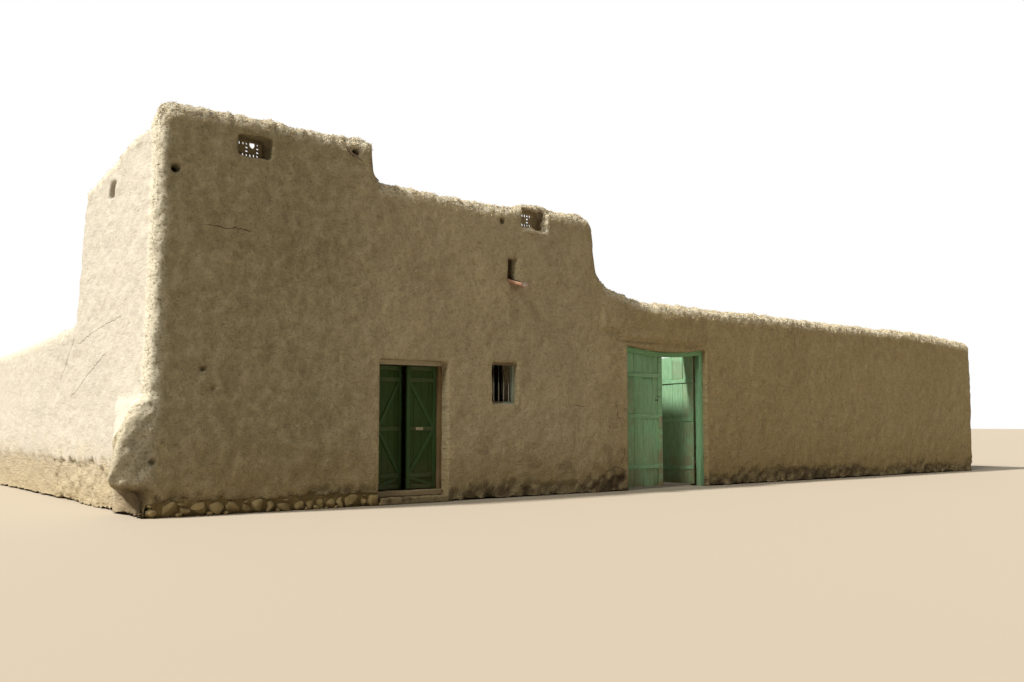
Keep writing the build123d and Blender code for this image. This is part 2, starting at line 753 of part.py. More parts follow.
def span(x0, x1):
    """Everything between two upright planes."""
    return block(x0, x1, -LARGE, LARGE, -LARGE, LARGE)


nodes = {}

# Front wall, with its openings
front_left, front_middle, front_right = front_mass()
openings = [
    vent(FRONT_VENT_LEFT, FRONT_VENT_BOTTOM, FRONT_VENT_WIDTH, FRONT_VENT_HEIGHT),
    vent(MIDDLE_VENT_LEFT, MIDDLE_VENT_BOTTOM, MIDDLE_VENT_WIDTH, MIDDLE_VENT_HEIGHT),
    block(DOOR_LEFT, DOOR_RIGHT, -LARGE, LARGE, -LARGE, DOOR_TOP),
    block(WINDOW_LEFT, WINDOW_RIGHT, -LARGE, LARGE, WINDOW_BOTTOM, WINDOW_TOP),
    gate_hole(),
    drain_slot(),
    spout_bed(),
    peg_hole(CORNER_HOLE),
    peg_hole(STICK_HOLE),
    peg_hole(MIDDLE_HOLE),
    wall_stick(STICK_RADIUS + SEAT_GAP, STICK_IN + SEAT_GAP),
    footing(),
]
for x in pole_places():
    openings.append(pole(x, POLE_RADIUS + SEAT_GAP, POLE_BEARING + SEAT_GAP))
for opening in openings:
    front_middle -= opening
front_left -= footing()
front_left -= peg_hole(CORNER_HOLE)

nodes["tower_front_wall"] = front_left + (front_middle & span(LEFT_THICKNESS, DOOR_LEFT))
nodes["wall_over_door"] = front_middle & span(DOOR_LEFT, DOOR_RIGHT)
nodes["middle_front_wall"] = front_middle & span(DOOR_RIGHT, YARD_START)
nodes["gate_side_wall"] = front_middle & span(YARD_START, GATE_LEFT)
nodes["wall_over_gate"] = front_middle & span(GATE_LEFT, GATE_RIGHT)
nodes["yard_front_wall"] = front_middle & span(GATE_RIGHT, YARD_SPLIT)
nodes["yard_front_wall_end"] = (front_middle & span(YARD_SPLIT, YARD_RIGHT - YARD_THICKNESS)) + front_right

# Other walls of the house
side_vent = block(-LARGE, LARGE, SIDE_VENT_START, SIDE_VENT_START + SIDE_VENT_WIDTH,
                  SIDE_VENT_BOTTOM, SIDE_VENT_BOTTOM + SIDE_VENT_HEIGHT)
nodes["left_wall"] = left_wall() - side_vent
nodes["right_wall"] = right_wall()
back = back_wall()
for x in pole_places():
    back -= pole(x, POLE_RADIUS + SEAT_GAP, POLE_BEARING + SEAT_GAP)
nodes["back_wall"] = back
nodes["corner_foot"] = corner_foot([nodes["tower_front_wall"], nodes["left_wall"], footing()])
nodes["stone_footing"] = footing() - nodes["corner_foot"]

# Floor, roof and poles
nodes["earth_floor"] = block(LEFT_THICKNESS, HOUSE_RIGHT - RIGHT_THICKNESS, FRONT_THICKNESS, ROOM_BACK,
                             0, FLOOR_TOP)
roof_side = [
    (FRONT_THICKNESS, ROOF_UNDERSIDE, 0),
    (ROOM_BACK, ROOF_UNDERSIDE, 0),
    (ROOM_BACK, ROOF_FRONT_TOP + ROOF_FALL, 0),
    (FRONT_THICKNESS, ROOF_FRONT_TOP, 0),
]
nodes["flat_roof"] = side_elevation(roof_side, LEFT_THICKNESS, HOUSE_RIGHT - RIGHT_THICKNESS)
nodes["roof_poles"] = [pole(x, POLE_RADIUS, POLE_BEARING) for x in pole_places()]

# Lattices, spout and stick
nodes["front_lattice"] = front_lattice(FRONT_VENT_LEFT, FRONT_VENT_BOTTOM, FRONT_VENT_WIDTH,
                                       FRONT_VENT_HEIGHT, FRONT_VENT_SETBACK, FRONT_VENT_MARGINS)
nodes["middle_lattice"] = front_lattice(MIDDLE_VENT_LEFT, MIDDLE_VENT_BOTTOM, MIDDLE_VENT_WIDTH,
                                        MIDDLE_VENT_HEIGHT, MIDDLE_VENT_SETBACK, MIDDLE_VENT_MARGINS)
nodes["side_lattice"] = side_lattice()
nodes["rain_spout"] = rain_spout()
nodes["wall_stick"] = wall_stick(STICK_RADIUS, STICK_IN)

# Window
window_y = (WINDOW_SETBACK, WINDOW_SETBACK + WINDOW_FRAME_DEPTH)
nodes["window_frame"] = block(WINDOW_LEFT, WINDOW_RIGHT, *window_y, WINDOW_BOTTOM, WINDOW_TOP) - block(
    WINDOW_LEFT + WINDOW_FRAME, WINDOW_RIGHT - WINDOW_FRAME, window_y[0] - 1, window_y[1] + 1,
    WINDOW_BOTTOM + WINDOW_FRAME, WINDOW_TOP - WINDOW_FRAME)

# Door
threshold_top = DOOR_STEP_HEIGHT + THRESHOLD_HEIGHT
door_back = DOOR_SETBACK + DOOR_FRAME_DEPTH
nodes["door_step"] = block(DOOR_LEFT, DOOR_RIGHT, -DOOR_STEP_OUT, FRONT_THICKNESS, 0, DOOR_STEP_HEIGHT)
nodes["door_threshold"] = block(DOOR_LEFT, DOOR_RIGHT, door_back - THRESHOLD_DEPTH, door_back,
                                DOOR_STEP_HEIGHT, threshold_top)
nodes["door_frame"] = jamb_frame(DOOR_LEFT, DOOR_RIGHT, threshold_top, DOOR_TOP, DOOR_JAMB, DOOR_HEAD,
                                 DOOR_SETBACK, door_back)
door_inner = (DOOR_LEFT + DOOR_JAMB, DOOR_RIGHT - DOOR_JAMB)
door_width = (door_inner[1] - door_inner[0] - 2 * LEAF_GAP - MEETING_GAP) / 2
door_shape = door_leaf(door_width, threshold_top + LEAF_GAP, DOOR_TOP - DOOR_HEAD - LEAF_GAP)
door_axes = (door_inner[0] + LEAF_GAP / 2, door_inner[1] - LEAF_GAP / 2)
door_axis_y = door_back + HINGE_OUT
nodes["door_left_leaf"] = hang(door_shape, DOOR_HINGES_AT, door_axes[0], door_axis_y, False, DOOR_LEFT_AJAR)
nodes["door_right_leaf"] = hang(door_shape, DOOR_HINGES_AT, door_axes[1], door_axis_y, True, 0)
nodes["door_pintles"] = (pintles(DOOR_HINGES_AT, door_axes[0], door_axis_y, False)
                         + pintles(DOOR_HINGES_AT, door_axes[1], door_axis_y, True))

# Gate
gate_back = GATE_SETBACK + GATE_FRAME_DEPTH
nodes["gate_frame"] = gate_frame(GATE_SETBACK, gate_back)
gate_inner = (GATE_LEFT + GATE_JAMB, GATE_RIGHT - GATE_JAMB)
gate_width = (gate_inner[1] - gate_inner[0] - 2 * LEAF_GAP - MEETING_GAP) / 2
gate_axes = (gate_inner[0] + LEAF_GAP / 2, gate_inner[1] - LEAF_GAP / 2)
gate_axis_y = gate_back + HINGE_OUT
gate_left_shape = gate_leaf(gate_width, GATE_GROUND_GAP, GATE_LEFT_RAILS_AT, 0)
gate_right_shape = gate_leaf(gate_width, GATE_GROUND_GAP, GATE_RIGHT_RAILS_AT, GATE_RIGHT_SAG)
nodes["gate_left_leaf"] = hang(gate_left_shape, GATE_HINGES_AT, gate_axes[0], gate_axis_y, False, 0)
nodes["gate_right_leaf"] = hang(gate_right_shape, GATE_HINGES_AT, gate_axes[1], gate_axis_y, True,
                                GATE_RIGHT_OPEN)
nodes["gate_pintles"] = (pintles(GATE_HINGES_AT, gate_axes[0], gate_axis_y, False)
                         + pintles(GATE_HINGES_AT, gate_axes[1], gate_axis_y, True))

# Other walls of the yard
yard_left = yard_side(0, YARD_THICKNESS, HOUSE_DEPTH - BACK_BATTER, YARD_DEPTH - YARD_THICKNESS,
                      YARD_LEFT_TOP, YARD_LEFT_BACK_TOP)
nodes["yard_left_wall"] = yard_left - nodes["left_wall"]
nodes["yard_back_wall"] = yard_back()
nodes["yard_right_wall"] = yard_side(YARD_RIGHT - YARD_THICKNESS, YARD_RIGHT, FRONT_THICKNESS,
                                     YARD_DEPTH - YARD_THICKNESS, YARD_END_TOP - 60, YARD_BACK_RIGHT_TOP)

os.makedirs("parts", exist_ok=True)
move = Pos(-ORIGIN_X, -ORIGIN_Y, 0)
for name, shape in nodes.items():
    if isinstance(shape, list):
        shape = Compound(children=[Part() + piece for piece in shape])
    export_step(move * shape, f"parts/{name}.step")
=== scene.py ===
"""Looks of a mud-walled village house with a flat roof and a walled yard.

Places are given as in the house itself: x to the right from the foot of the left front corner,
y into the house from its front face, and z up from the ground, all in metres.
"""

import json
import math
import random

import bmesh
import bpy
import numpy as np
from mathutils import Matrix, Vector


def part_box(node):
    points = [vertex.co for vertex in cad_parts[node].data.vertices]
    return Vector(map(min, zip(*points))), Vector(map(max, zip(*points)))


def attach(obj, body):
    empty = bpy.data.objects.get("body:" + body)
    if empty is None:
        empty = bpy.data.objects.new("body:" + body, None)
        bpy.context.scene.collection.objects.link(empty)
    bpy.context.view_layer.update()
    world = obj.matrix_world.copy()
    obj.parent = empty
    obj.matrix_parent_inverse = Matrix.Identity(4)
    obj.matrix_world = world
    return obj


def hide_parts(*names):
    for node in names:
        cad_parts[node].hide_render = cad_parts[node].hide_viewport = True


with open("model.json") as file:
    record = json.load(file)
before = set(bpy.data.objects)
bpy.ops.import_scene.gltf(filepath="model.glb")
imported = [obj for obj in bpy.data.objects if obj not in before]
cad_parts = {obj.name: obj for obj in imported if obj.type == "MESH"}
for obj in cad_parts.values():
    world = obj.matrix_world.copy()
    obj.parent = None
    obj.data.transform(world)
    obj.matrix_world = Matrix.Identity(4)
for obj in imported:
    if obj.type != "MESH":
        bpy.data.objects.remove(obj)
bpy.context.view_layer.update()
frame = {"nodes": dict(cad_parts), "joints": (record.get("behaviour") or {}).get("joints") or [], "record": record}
FOOT = Vector((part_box("tower_front_wall")[0].x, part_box("tower_front_wall")[0].y, 0))


# View
# The camera stands about 13 metres off the left corner, at the height of a child's eyes,
# and looks along the front towards the gate.
CAMERA_PLACE = (-4.10, -12.67, 1.20)
CAMERA_RISE, CAMERA_TURN = 4.63, -38
CAMERA_LENS, CAMERA_SENSOR, CAMERA_REACH = 35.16, 36, 500


def place(x, y, z):
    """A place of the house in the shared frame."""
    return FOOT + Vector((x, y, z))


camera = bpy.data.objects.new("camera", bpy.data.cameras.new("camera"))
camera.location = place(*CAMERA_PLACE)
camera.rotation_euler = (math.radians(90 + CAMERA_RISE), 0, math.radians(CAMERA_TURN))
camera.data.sensor_width = CAMERA_SENSOR
camera.data.lens = CAMERA_LENS
camera.data.clip_end = CAMERA_REACH
bpy.context.scene.collection.objects.link(camera)
bpy.context.scene.camera = camera
bpy.context.scene.view_settings.view_transform = "Standard"


# Light
# The sun from the left lights the side wall and leaves the front in open shade,
# where the brighter side of the sky rakes along the front and brings out its relief.
# The sky is white where the camera or a gloss sees it, and dimmer where it lights the walls.
SKY_COLOUR, SKY_STRENGTH = (1.0, 0.97, 0.88, 1), 0.22
LAMPS = (
    ("sun", 6.6, (1.0, 0.97, 0.93), 4, (0.66, -0.10, -0.74)),
    ("bright_side_of_sky", 1.55, (1.0, 0.97, 0.88), 14, (0.72, 0.20, -0.66)),
)


def node(tree, kind, values=None, **settings):
    """A node with its settings, its values and the sockets that feed it."""
    made = tree.nodes.new(kind)
    for name, setting in settings.items():
        setattr(made, name, setting)
    for name, value in (values or {}).items():
        if isinstance(value, bpy.types.NodeSocket):
            tree.links.new(value, made.inputs[name])
        else:
            made.inputs[name].default_value = value
    return made


def tree_of(*items):
    """The node tree of the first socket among the items."""
    return next(item.id_data for item in items if isinstance(item, bpy.types.NodeSocket))


def maths(operation, first, second):
    """A number made of two others, of which one at least is a socket."""
    return node(tree_of(first, second), "ShaderNodeMath", {0: first, 1: second},
                operation=operation).outputs[0]


def times(first, *others):
    """All of them multiplied together."""
    for other in others:
        first = maths("MULTIPLY", first, other)
    return first


def total(first, *others):
    """All of them added together."""
    for other in others:
        first = maths("ADD", first, other)
    return first


def curve(value, low, high, to_low=0.0, to_high=1.0):
    """to_low where the value is low, to_high where it is high, and even between them."""
    return node(value.id_data, "ShaderNodeMapRange", {"Value": value, "From Min": low, "From Max": high,
                                                      "To Min": to_low, "To Max": to_high}).outputs["Result"]


def mix(factor, first, second):
    """The first colour where the factor is 0, and the second where it is 1."""
    return node(tree_of(factor, first), "ShaderNodeMix", {"Factor": factor, 6: first, 7: second},
                data_type="RGBA").outputs[2]


world = bpy.data.worlds.new("sky")
world.use_nodes = True
bpy.context.scene.world = world
sky = world.node_tree
sky.nodes.clear()
rays = node(sky, "ShaderNodeLightPath").outputs
seen_directly = maths("MAXIMUM", maths("MAXIMUM", rays["Is Camera Ray"], rays["Is Glossy Ray"]),
                      rays["Is Transmission Ray"])
sky_light = node(sky, "ShaderNodeBackground", {"Color": SKY_COLOUR, "Strength": SKY_STRENGTH})
sky_seen = node(sky, "ShaderNodeBackground", {"Color": (1, 1, 1, 1), "Strength": 1.0})
sky_mix = node(sky, "ShaderNodeMixShader", {0: seen_directly, 1: sky_light.outputs[0],
                                            2: sky_seen.outputs[0]})
node(sky, "ShaderNodeOutputWorld", {"Surface": sky_mix.outputs[0]})

for name, energy, colour, spread, way in LAMPS:
    lamp = bpy.data.objects.new(name, bpy.data.lights.new(name, "SUN"))
    lamp.data.energy = energy
    lamp.data.color = colour
    lamp.data.angle = math.radians(spread)
    lamp.rotation_euler = Vector(way).to_track_quat("-Z", "Y").to_euler()
    bpy.context.scene.collection.objects.link(lamp)


# Floor
# A plain pale floor that takes the shadow of the house.
FLOOR_REACH = 160
FLOOR_COLOUR = (0.340, 0.290, 0.220, 1)


def plain_material(name, roughness=0.5, colour=None):
    """A new material, with its node tree and its shader."""
    material = bpy.data.materials.new(name)
    material.use_nodes = True
    shader = material.node_tree.nodes["Principled BSDF"]
    shader.inputs["Roughness"].default_value = roughness
    if colour:
        shader.inputs["Base Color"].default_value = colour
    return material, material.node_tree, shader


floor_corners = [(x * FLOOR_REACH, y * FLOOR_REACH, 0) for x, y in ((-1, -1), (1, -1), (1, 1), (-1, 1))]
floor_mesh = bpy.data.meshes.new("floor")
floor_mesh.from_pydata(floor_corners, [], [(0, 1, 2, 3)])
floor_mesh.materials.append(plain_material("floor_paint", 0.9, FLOOR_COLOUR)[0])
floor = bpy.data.objects.new("floor", floor_mesh)
bpy.context.scene.collection.objects.link(floor)


# Mud walls
# Sun-dried bricks under a hand-smoothed coat of mud and chopped straw, soft at every edge.
# The solids are joined, given an even grain and worn, and then divided into a few large pieces.
FRONT_GRAIN, REAR_GRAIN = 0.030, 0.075
CUT_MARGIN = 0.35
FRONT_DEPTH, LEFT_DEPTH = 0.90, 4.40
DOOR_MIDDLE, GATE_MIDDLE = 3.96, 9.60
# Layers of lumps: the depth, the size and the seed of each.
WALL_LAYERS = ((0.014, 1.5, 1), (0.013, 0.6, 2), (0.012, 0.24, 3), (0.009, 0.10, 4))
LIP_LAYERS = ((0.022, 0.13, 5), (0.018, 0.06, 6))
RIDGE_LAYERS = ((0.014, 0.12, 7), (0.012, 0.06, 8))
FLARE_LAYERS = ((0.034, 0.30, 14), (0.024, 0.13, 15), (0.014, 0.065, 16))
# Places on the front: from, to and how far each fades out, first along x and then along z.
DRAIN_SLOT = ((5.76, 5.90, 0.02), (3.44, 3.86, 0.03))
UNDER_SPOUT = ((5.80, 5.86, 0.12), (2.95, 3.42, 0.25))
BESIDE_GATE = ((8.05, 8.30, 0.22), (0.15, 0.62, 0.25))
# The right and lower rims of the middle vent are painted pale as a painted highlight on their lit edges.
VENT_RIGHT_PAINTED_HIGHLIGHT = ((6.535, 6.575, 0.02), (4.36, 4.76, 0.03))
VENT_LOWER_PAINTED_HIGHLIGHT = ((6.05, 6.57, 0.02), (4.335, 4.365, 0.02))
PATCHY_FOOT = ((5.0, 8.2, 0.4), (0.25, 0.70, 0.30))
DOOR_OPENING, DOOR_OPENING_TOP = (3.30, 4.62, 0.04), 2.3
GATE_OPENING, GATE_OPENING_TOP = (8.36, 10.53, 0.05), 2.62
WORN_DEPTH = 0.030
BAND_DEPTH = 0.048
SHED_DEPTH = 0.07
# Holes and pits in the front, darkened inside as painted shade: x, z and the reach of each.
DENTS = ((0.300, 4.476, 0.070), (2.931, 5.124, 0.065), (5.606, 4.446, 0.060), (0.730, 1.890, 0.045),
         (0.860, 1.650, 0.030), (0.230, 0.940, 0.020), (0.110, 0.700, 0.050),
         (8.450, 3.060, 0.016), (6.900, 3.480, 0.016))

mud_nodes = [part["node"] for part in frame["record"]["subparts"] if part["material_slot"] == "mud_plaster"]


def lumps(points, size, seed):
    """Smooth lumps of about that size over the points, from -1 to 1."""
    grid = points / size + seed * 17.31
    cell = np.floor(grid).astype(np.int64)
    part = grid - cell
    part = part * part * (3 - 2 * part)
    total = np.zeros(len(points))
    for i in (0, 1):
        for j in (0, 1):
            for k in (0, 1):
                key = (cell[:, 0] + i) * 73856093 ^ (cell[:, 1] + j) * 19349663 ^ (cell[:, 2] + k) * 83492791
                key = ((key ^ (key >> 13)) * 1274126177) & 0x7FFFFFFF
                weight = np.abs(1 - i - part[:, 0]) * np.abs(1 - j - part[:, 1]) * np.abs(1 - k - part[:, 2])
                total += weight * (key / 0x3FFFFFFF - 1)
    return total


def ramp(values, start, end):
    """0 at start, 1 at end, smooth between them."""
    part = np.clip((values - start) / (end - start), 0, 1)
    return part * part * (3 - 2 * part)


def within(values, low, high, soft):
    """1 between low and high, fading out over soft."""
    return ramp(values, low - soft, low) * ramp(values, high + soft, high)


def cut(bm, co, normal):
    """Take away what lies beyond a plane and close the walls there."""
    geometry = bm.verts[:] + bm.edges[:] + bm.faces[:]
    bmesh.ops.bisect_plane(bm, geom=geometry, plane_co=co, plane_no=normal, clear_outer=True, dist=1e-6)
    bmesh.ops.holes_fill(bm, edges=[edge for edge in bm.edges if edge.is_boundary], sides=0)


def joined_mud(planes):
    """The mud solids in one mesh, cut a little beyond the planes."""
    whole = bmesh.new()
    for name in mud_nodes:
        solid = bmesh.new()
        solid.from_mesh(frame["nodes"][name].data)
        bmesh.ops.remove_doubles(solid, verts=solid.verts, dist=1e-5)
        for co, normal in planes:
            cut(solid, Vector(co) + Vector(normal) * CUT_MARGIN, normal)
        part = bpy.data.meshes.new("part")
        solid.to_mesh(part)
        solid.free()
        whole.from_mesh(part)
        bpy.data.meshes.remove(part)
    mesh = bpy.data.meshes.new("mud")
    whole.to_mesh(mesh)
    whole.free()
    return mesh


def evaluated(mesh, modifiers, group=None):
    """The mesh after some modifiers; group is a weight for each vertex."""
    obj = bpy.data.objects.new("work", mesh)
    bpy.context.scene.collection.objects.link(obj)
    if group is not None:
        weights = obj.vertex_groups.new(name="where")
        for index in np.nonzero(group > 0.01)[0]:
            weights.add([int(index)], float(group[index]), "REPLACE")
    for kind, settings in modifiers:
        modifier = obj.modifiers.new(kind.lower(), kind)
        for name, value in settings.items():
            setattr(modifier, name, value)
    depsgraph = bpy.context.evaluated_depsgraph_get()
    result = bpy.data.meshes.new_from_object(obj.evaluated_get(depsgraph))
    bpy.data.objects.remove(obj)
    return result


def even_grain(mesh, grain):
    """The mesh made again of even faces of that size, with its edges softened."""
    return evaluated(mesh, [("REMESH", {"mode": "VOXEL", "voxel_size": grain}),
                            ("SMOOTH", {"factor": 0.5, "iterations": 3})])


def read(mesh):
    """Vertex places, from the foot of the house, and normals."""
    places = np.zeros(len(mesh.vertices) * 3, np.float32)
    mesh.vertices.foreach_get("co", places)
    normals = np.zeros(len(mesh.vertices) * 3, np.float32)
    mesh.vertices.foreach_get("normal", normals)
    return places.reshape(-1, 3).astype(float) - np.array(FOOT), normals.reshape(-1, 3).astype(float)


def write(mesh, places):
    """Move the vertices to places that are given from the foot of the house."""
    mesh.vertices.foreach_set("co", (places + np.array(FOOT)).astype(np.float32).ravel())


def top_line(points):
    """The height of the wall's top over each point."""
    cells = np.round(points[:, :2] / 0.06).astype(np.int64)
    keys = cells[:, 0] * 4096 + cells[:, 1]
    unique, inverse = np.unique(keys, return_inverse=True)
    tops = np.full(len(unique), -1.0)
    np.maximum.at(tops, inverse, points[:, 2])
    best = tops[inverse]
    for step in (-4096, 4096, -1, 1):
        found = np.clip(np.searchsorted(unique, keys + step), 0, len(unique) - 1)
        best = np.where(unique[found] == keys + step, np.maximum(best, tops[found]), best)
    return best


def spot(points, reach):
    """1 in a place on the front, fading out round it."""
    return within(points[:, 0], *reach[0]) * within(points[:, 2], *reach[1])


def relief(points, layers):
    """Layers of lumps, one on the other."""
    return sum(depth * lumps(points, size, seed) for depth, size, seed in layers)


def marks_of(points):
    """Where the walls carry a straw lip, the corner roll, worn plaster, and stains with painted shade in holes and
    recesses, from 0 to 1.
    """
    x, y, z = points.T
    on_front = y < 0.1
    crumble = lumps(points, 0.16, 11) + 0.6 * lumps(points, 0.07, 12)
    broad = lumps(points * (1, 1, 0), 0.9, 13)
    on_deck = (x > 0.5) * (x < 7.1) * (y > 0.5) * (y < 3.05) * (z < 3.7)
    lip = ramp(top_line(points) - z + 0.05 * crumble, 0.23, 0.09) * (z > 2.2) * (1 - on_deck)
    lip *= 1 - 0.75 * ramp(y, 0.25, 0.45) * (x < 0.45)
    # painted highlight on the lit right and lower rims of the middle vent
    rim = spot(points, VENT_RIGHT_PAINTED_HIGHLIGHT) + spot(points, VENT_LOWER_PAINTED_HIGHLIGHT)
    lip = np.maximum(lip, 0.9 * np.clip(rim, 0, 1) * (y < 0.15))
    # The corner roll is painted pale as painted sunlight; on the flare's front the paler colour is its own.
    ridge = within(y, -0.1, 0.15, 0.25) * ramp(x + 0.04 * crumble, 0.26, 0.08) * ramp(z, 1.0, 1.5)
    on_flare = 0.55 * ramp(x, 0.20, 0.06) * ramp(z, 1.5, 1.2) * ramp(z, 0.35, 0.50) * (y < 0.12)
    ridge = np.maximum(ridge, on_flare)
    side_foot = (x < 0.3) * ramp(y, 1.0, 1.4) * ramp(z + 0.09 * crumble, 0.66, 0.60)
    front_foot = (x > 0.15) * (y < 0.3) * ramp(z + 0.10 * crumble, 0.28 + 0.08 * broad, 0.20 + 0.08 * broad)
    # The undercut below the flare is also darkened in the colour as painted shade.
    undercut = ramp(x, 0.12, -0.02) * ramp(z + 0.05 * crumble, 0.42, 0.28) * ramp(y, 1.15, 0.45)
    worn = np.clip(side_foot + front_foot + undercut, 0, 1)
    in_slot = spot(points, DRAIN_SLOT) * (y > 0.05) * (y < 0.6)
    under_spout = spot(points, UNDER_SPOUT) * on_front
    beside_gate = spot(points, BESIDE_GATE) * on_front
    on_foot = front_foot * ramp(crumble + 0.4 * broad, -0.1, 0.5)
    patches = spot(points, PATCHY_FOOT) * on_front
    patches *= ramp(lumps(points, 0.34, 31) + 0.6 * lumps(points, 0.12, 32), 0.10, 0.65)
    # Real stains on the foot, in patches and beside the gate; under the spout partly a water stain and partly
    # painted shadow; inside the drain slot partly a water stain and partly painted shade; in the undercut and in
    # the dents painted shade.
    stain_and_shade = np.clip(0.30 * patches + 0.7 * in_slot + 0.22 * under_spout
                    + 0.35 * beside_gate * (0.6 + 0.8 * crumble) + 0.72 * on_foot + 0.80 * undercut, 0, 1)
    for hole_x, hole_z, reach in DENTS:
        near = np.exp(-((x - hole_x) ** 2 + (z - hole_z) ** 2) / (0.75 * reach) ** 2) * (y < 0.3)
        stain_and_shade = np.maximum(stain_and_shade, min(0.9, 14 * reach) * near)
    return {"lip": lip, "ridge": ridge, "worn": worn, "stain_and_shade": stain_and_shade}


def wear(points, normals, marks):
    """Move each point of the walls as weather and hands have moved the mud."""
    x, y, z = points.T
    on_front = y < 0.1
    front = np.clip(-normals[:, 1] * 1.6 - 0.4, 0, 1) * (y < 0.25)
    side = np.clip(-normals[:, 0] * 1.6 - 0.4, 0, 1) * (x < 0.3)
    bulge = relief(points, WALL_LAYERS)
    bulge += marks["lip"] * (relief(points, LIP_LAYERS) + 0.004)
    bulge += marks["ridge"] * relief(points, RIDGE_LAYERS)
    flare = ramp(x, 0.34, 0.02) * ramp(z, 1.55, 1.25) * ramp(y, 0.55, 0.25)
    bulge += flare * relief(points, FLARE_LAYERS)
    bulge -= marks["worn"] * (WORN_DEPTH + WORN_DEPTH * lumps(points, 0.10, 9))
    in_opening = (within(x, *DOOR_OPENING) * (z < DOOR_OPENING_TOP)
                  + within(x, *GATE_OPENING) * (z < GATE_OPENING_TOP))
    bulge *= 1 - 0.8 * np.clip(in_opening, 0, 1)
    moved = points + normals * bulge[:, None]
    band_foot = np.where(x < 8.17, 2.82, 2.67)
    band = front * within(x, 7.80, 10.10, 0.03 + 0.5 * (x > 9)) * ramp(z, band_foot - 0.02, band_foot + 0.02)
    moved[:, 1] -= BAND_DEPTH * band * ramp(z, 3.42, 3.05)
    slot_side = np.clip(1 - (x - 5.88) / 0.12, 0, 1) * (x > 5.84) * within(z, 3.56, 3.86, 0.05)
    moved[:, 1] += 0.05 * slot_side ** 2 * (y < 0.12)
    for hole_x, hole_z, reach in DENTS:
        away = np.hypot(x - hole_x, z - hole_z) / reach
        moved[:, 1] += 1.8 * reach * np.clip(1 - away ** 2, 0, 1) * on_front
    shed = np.clip(1 - (top_line(points) - z) / 0.24, 0, 1) ** 2 * (z > 2.2)
    moved[:, 1] += SHED_DEPTH * shed * ramp(y, 0.32, 0.12)
    spout_root = np.exp(-((x - 5.84) ** 2 + (z - 3.39) ** 2) / 0.06 ** 2)
    moved[:, 1] += 0.04 * spout_root * on_front
    moved[:, 0] += 0.02 * side * marks["worn"]
    moved[:, 2] -= 0.14 * ramp(y, 0.05, 0.45) * ramp(y, 1.35, 0.5) * ramp(x, 1.3, 0.5) * ramp(z, 4.9, 5.25)
    moved[:, 2] -= 0.05 * ramp(x, 0.75, 0.25) * ramp(y, 0.6, 0.3) * ramp(z, 4.9, 5.3)
    return moved


# Shared finish of the mud
# Broad blotches, trowel strokes, grit and flecks of straw, paler on the straw lip along the tops;
# that paleness is partly the lip's own and partly painted sunlight, and on the corner roll it is painted sunlight.
# Painted shade darkens the hollows, nicks, low crumbs and low patches of the relief,
# and painted light brightens its high patches.
# The tall part, the yard and the foot each have a tint of their own, and the side in the sun is painted paler as
# painted sunlight.
MUD_BASE = (0.510, 0.430, 0.270, 1)
MUD_PALE_AND_PAINTED_SUNLIGHT = (0.880, 0.810, 0.630, 1)
MUD_DARK = (0.290, 0.232, 0.135, 1)
TALL_TINT = (0.180, 0.160, 0.085, 1)
YARD_TINT = (0.300, 0.215, 0.080, 1)
SUNLIT_SIDE_PAINTED_PALENESS = (0.430, 0.420, 0.400, 1)
FOOT_TINT = (0.260, 0.175, 0.060, 1)
HOLLOW_SHADE = (0.110, 0.085, 0.045, 1)
LOW_PATCH_PAINTED_SHADE = (0.130, 0.100, 0.050, 1)
HIGH_PATCH_PAINTED_LIGHT = (0.600, 0.520, 0.350, 1)
NICK_SHADE = (0.20, 0.15, 0.09, 1)
LIP_SHADE = (0.15, 0.11, 0.06, 1)
STAIN_AND_SHADE_COLOUR = (0.085, 0.058, 0.032, 1)
DULL_GLOSS = 0.15
STRAW_TURNS = ((38, 38, 20), (-52, -50, 70))


def noise(vector, scale, detail, roughness=0.5, distortion=0.0):
    """Smooth noise of that scale, over the places that a vector gives."""
    return node(vector.id_data, "ShaderNodeTexNoise", {
        "Vector": vector, "Scale": scale, "Detail": detail,
        "Roughness": roughness, "Distortion": distortion}).outputs["Fac"]


def emboss(shader, height, depth, strength=1.0):
    """Give a shader the relief of a height."""
    tree = shader.id_data
    bump = node(tree, "ShaderNodeBump", {"Height": height, "Strength": strength, "Distance": depth})
    tree.links.new(bump.outputs["Normal"], shader.inputs["Normal"])


def add_sockets(tree, in_out, kind, *names):
    """Named inputs or outputs of one kind for a node group."""
    for name in names:
        tree.interface.new_socket(name, in_out=in_out, socket_type="NodeSocket" + kind)


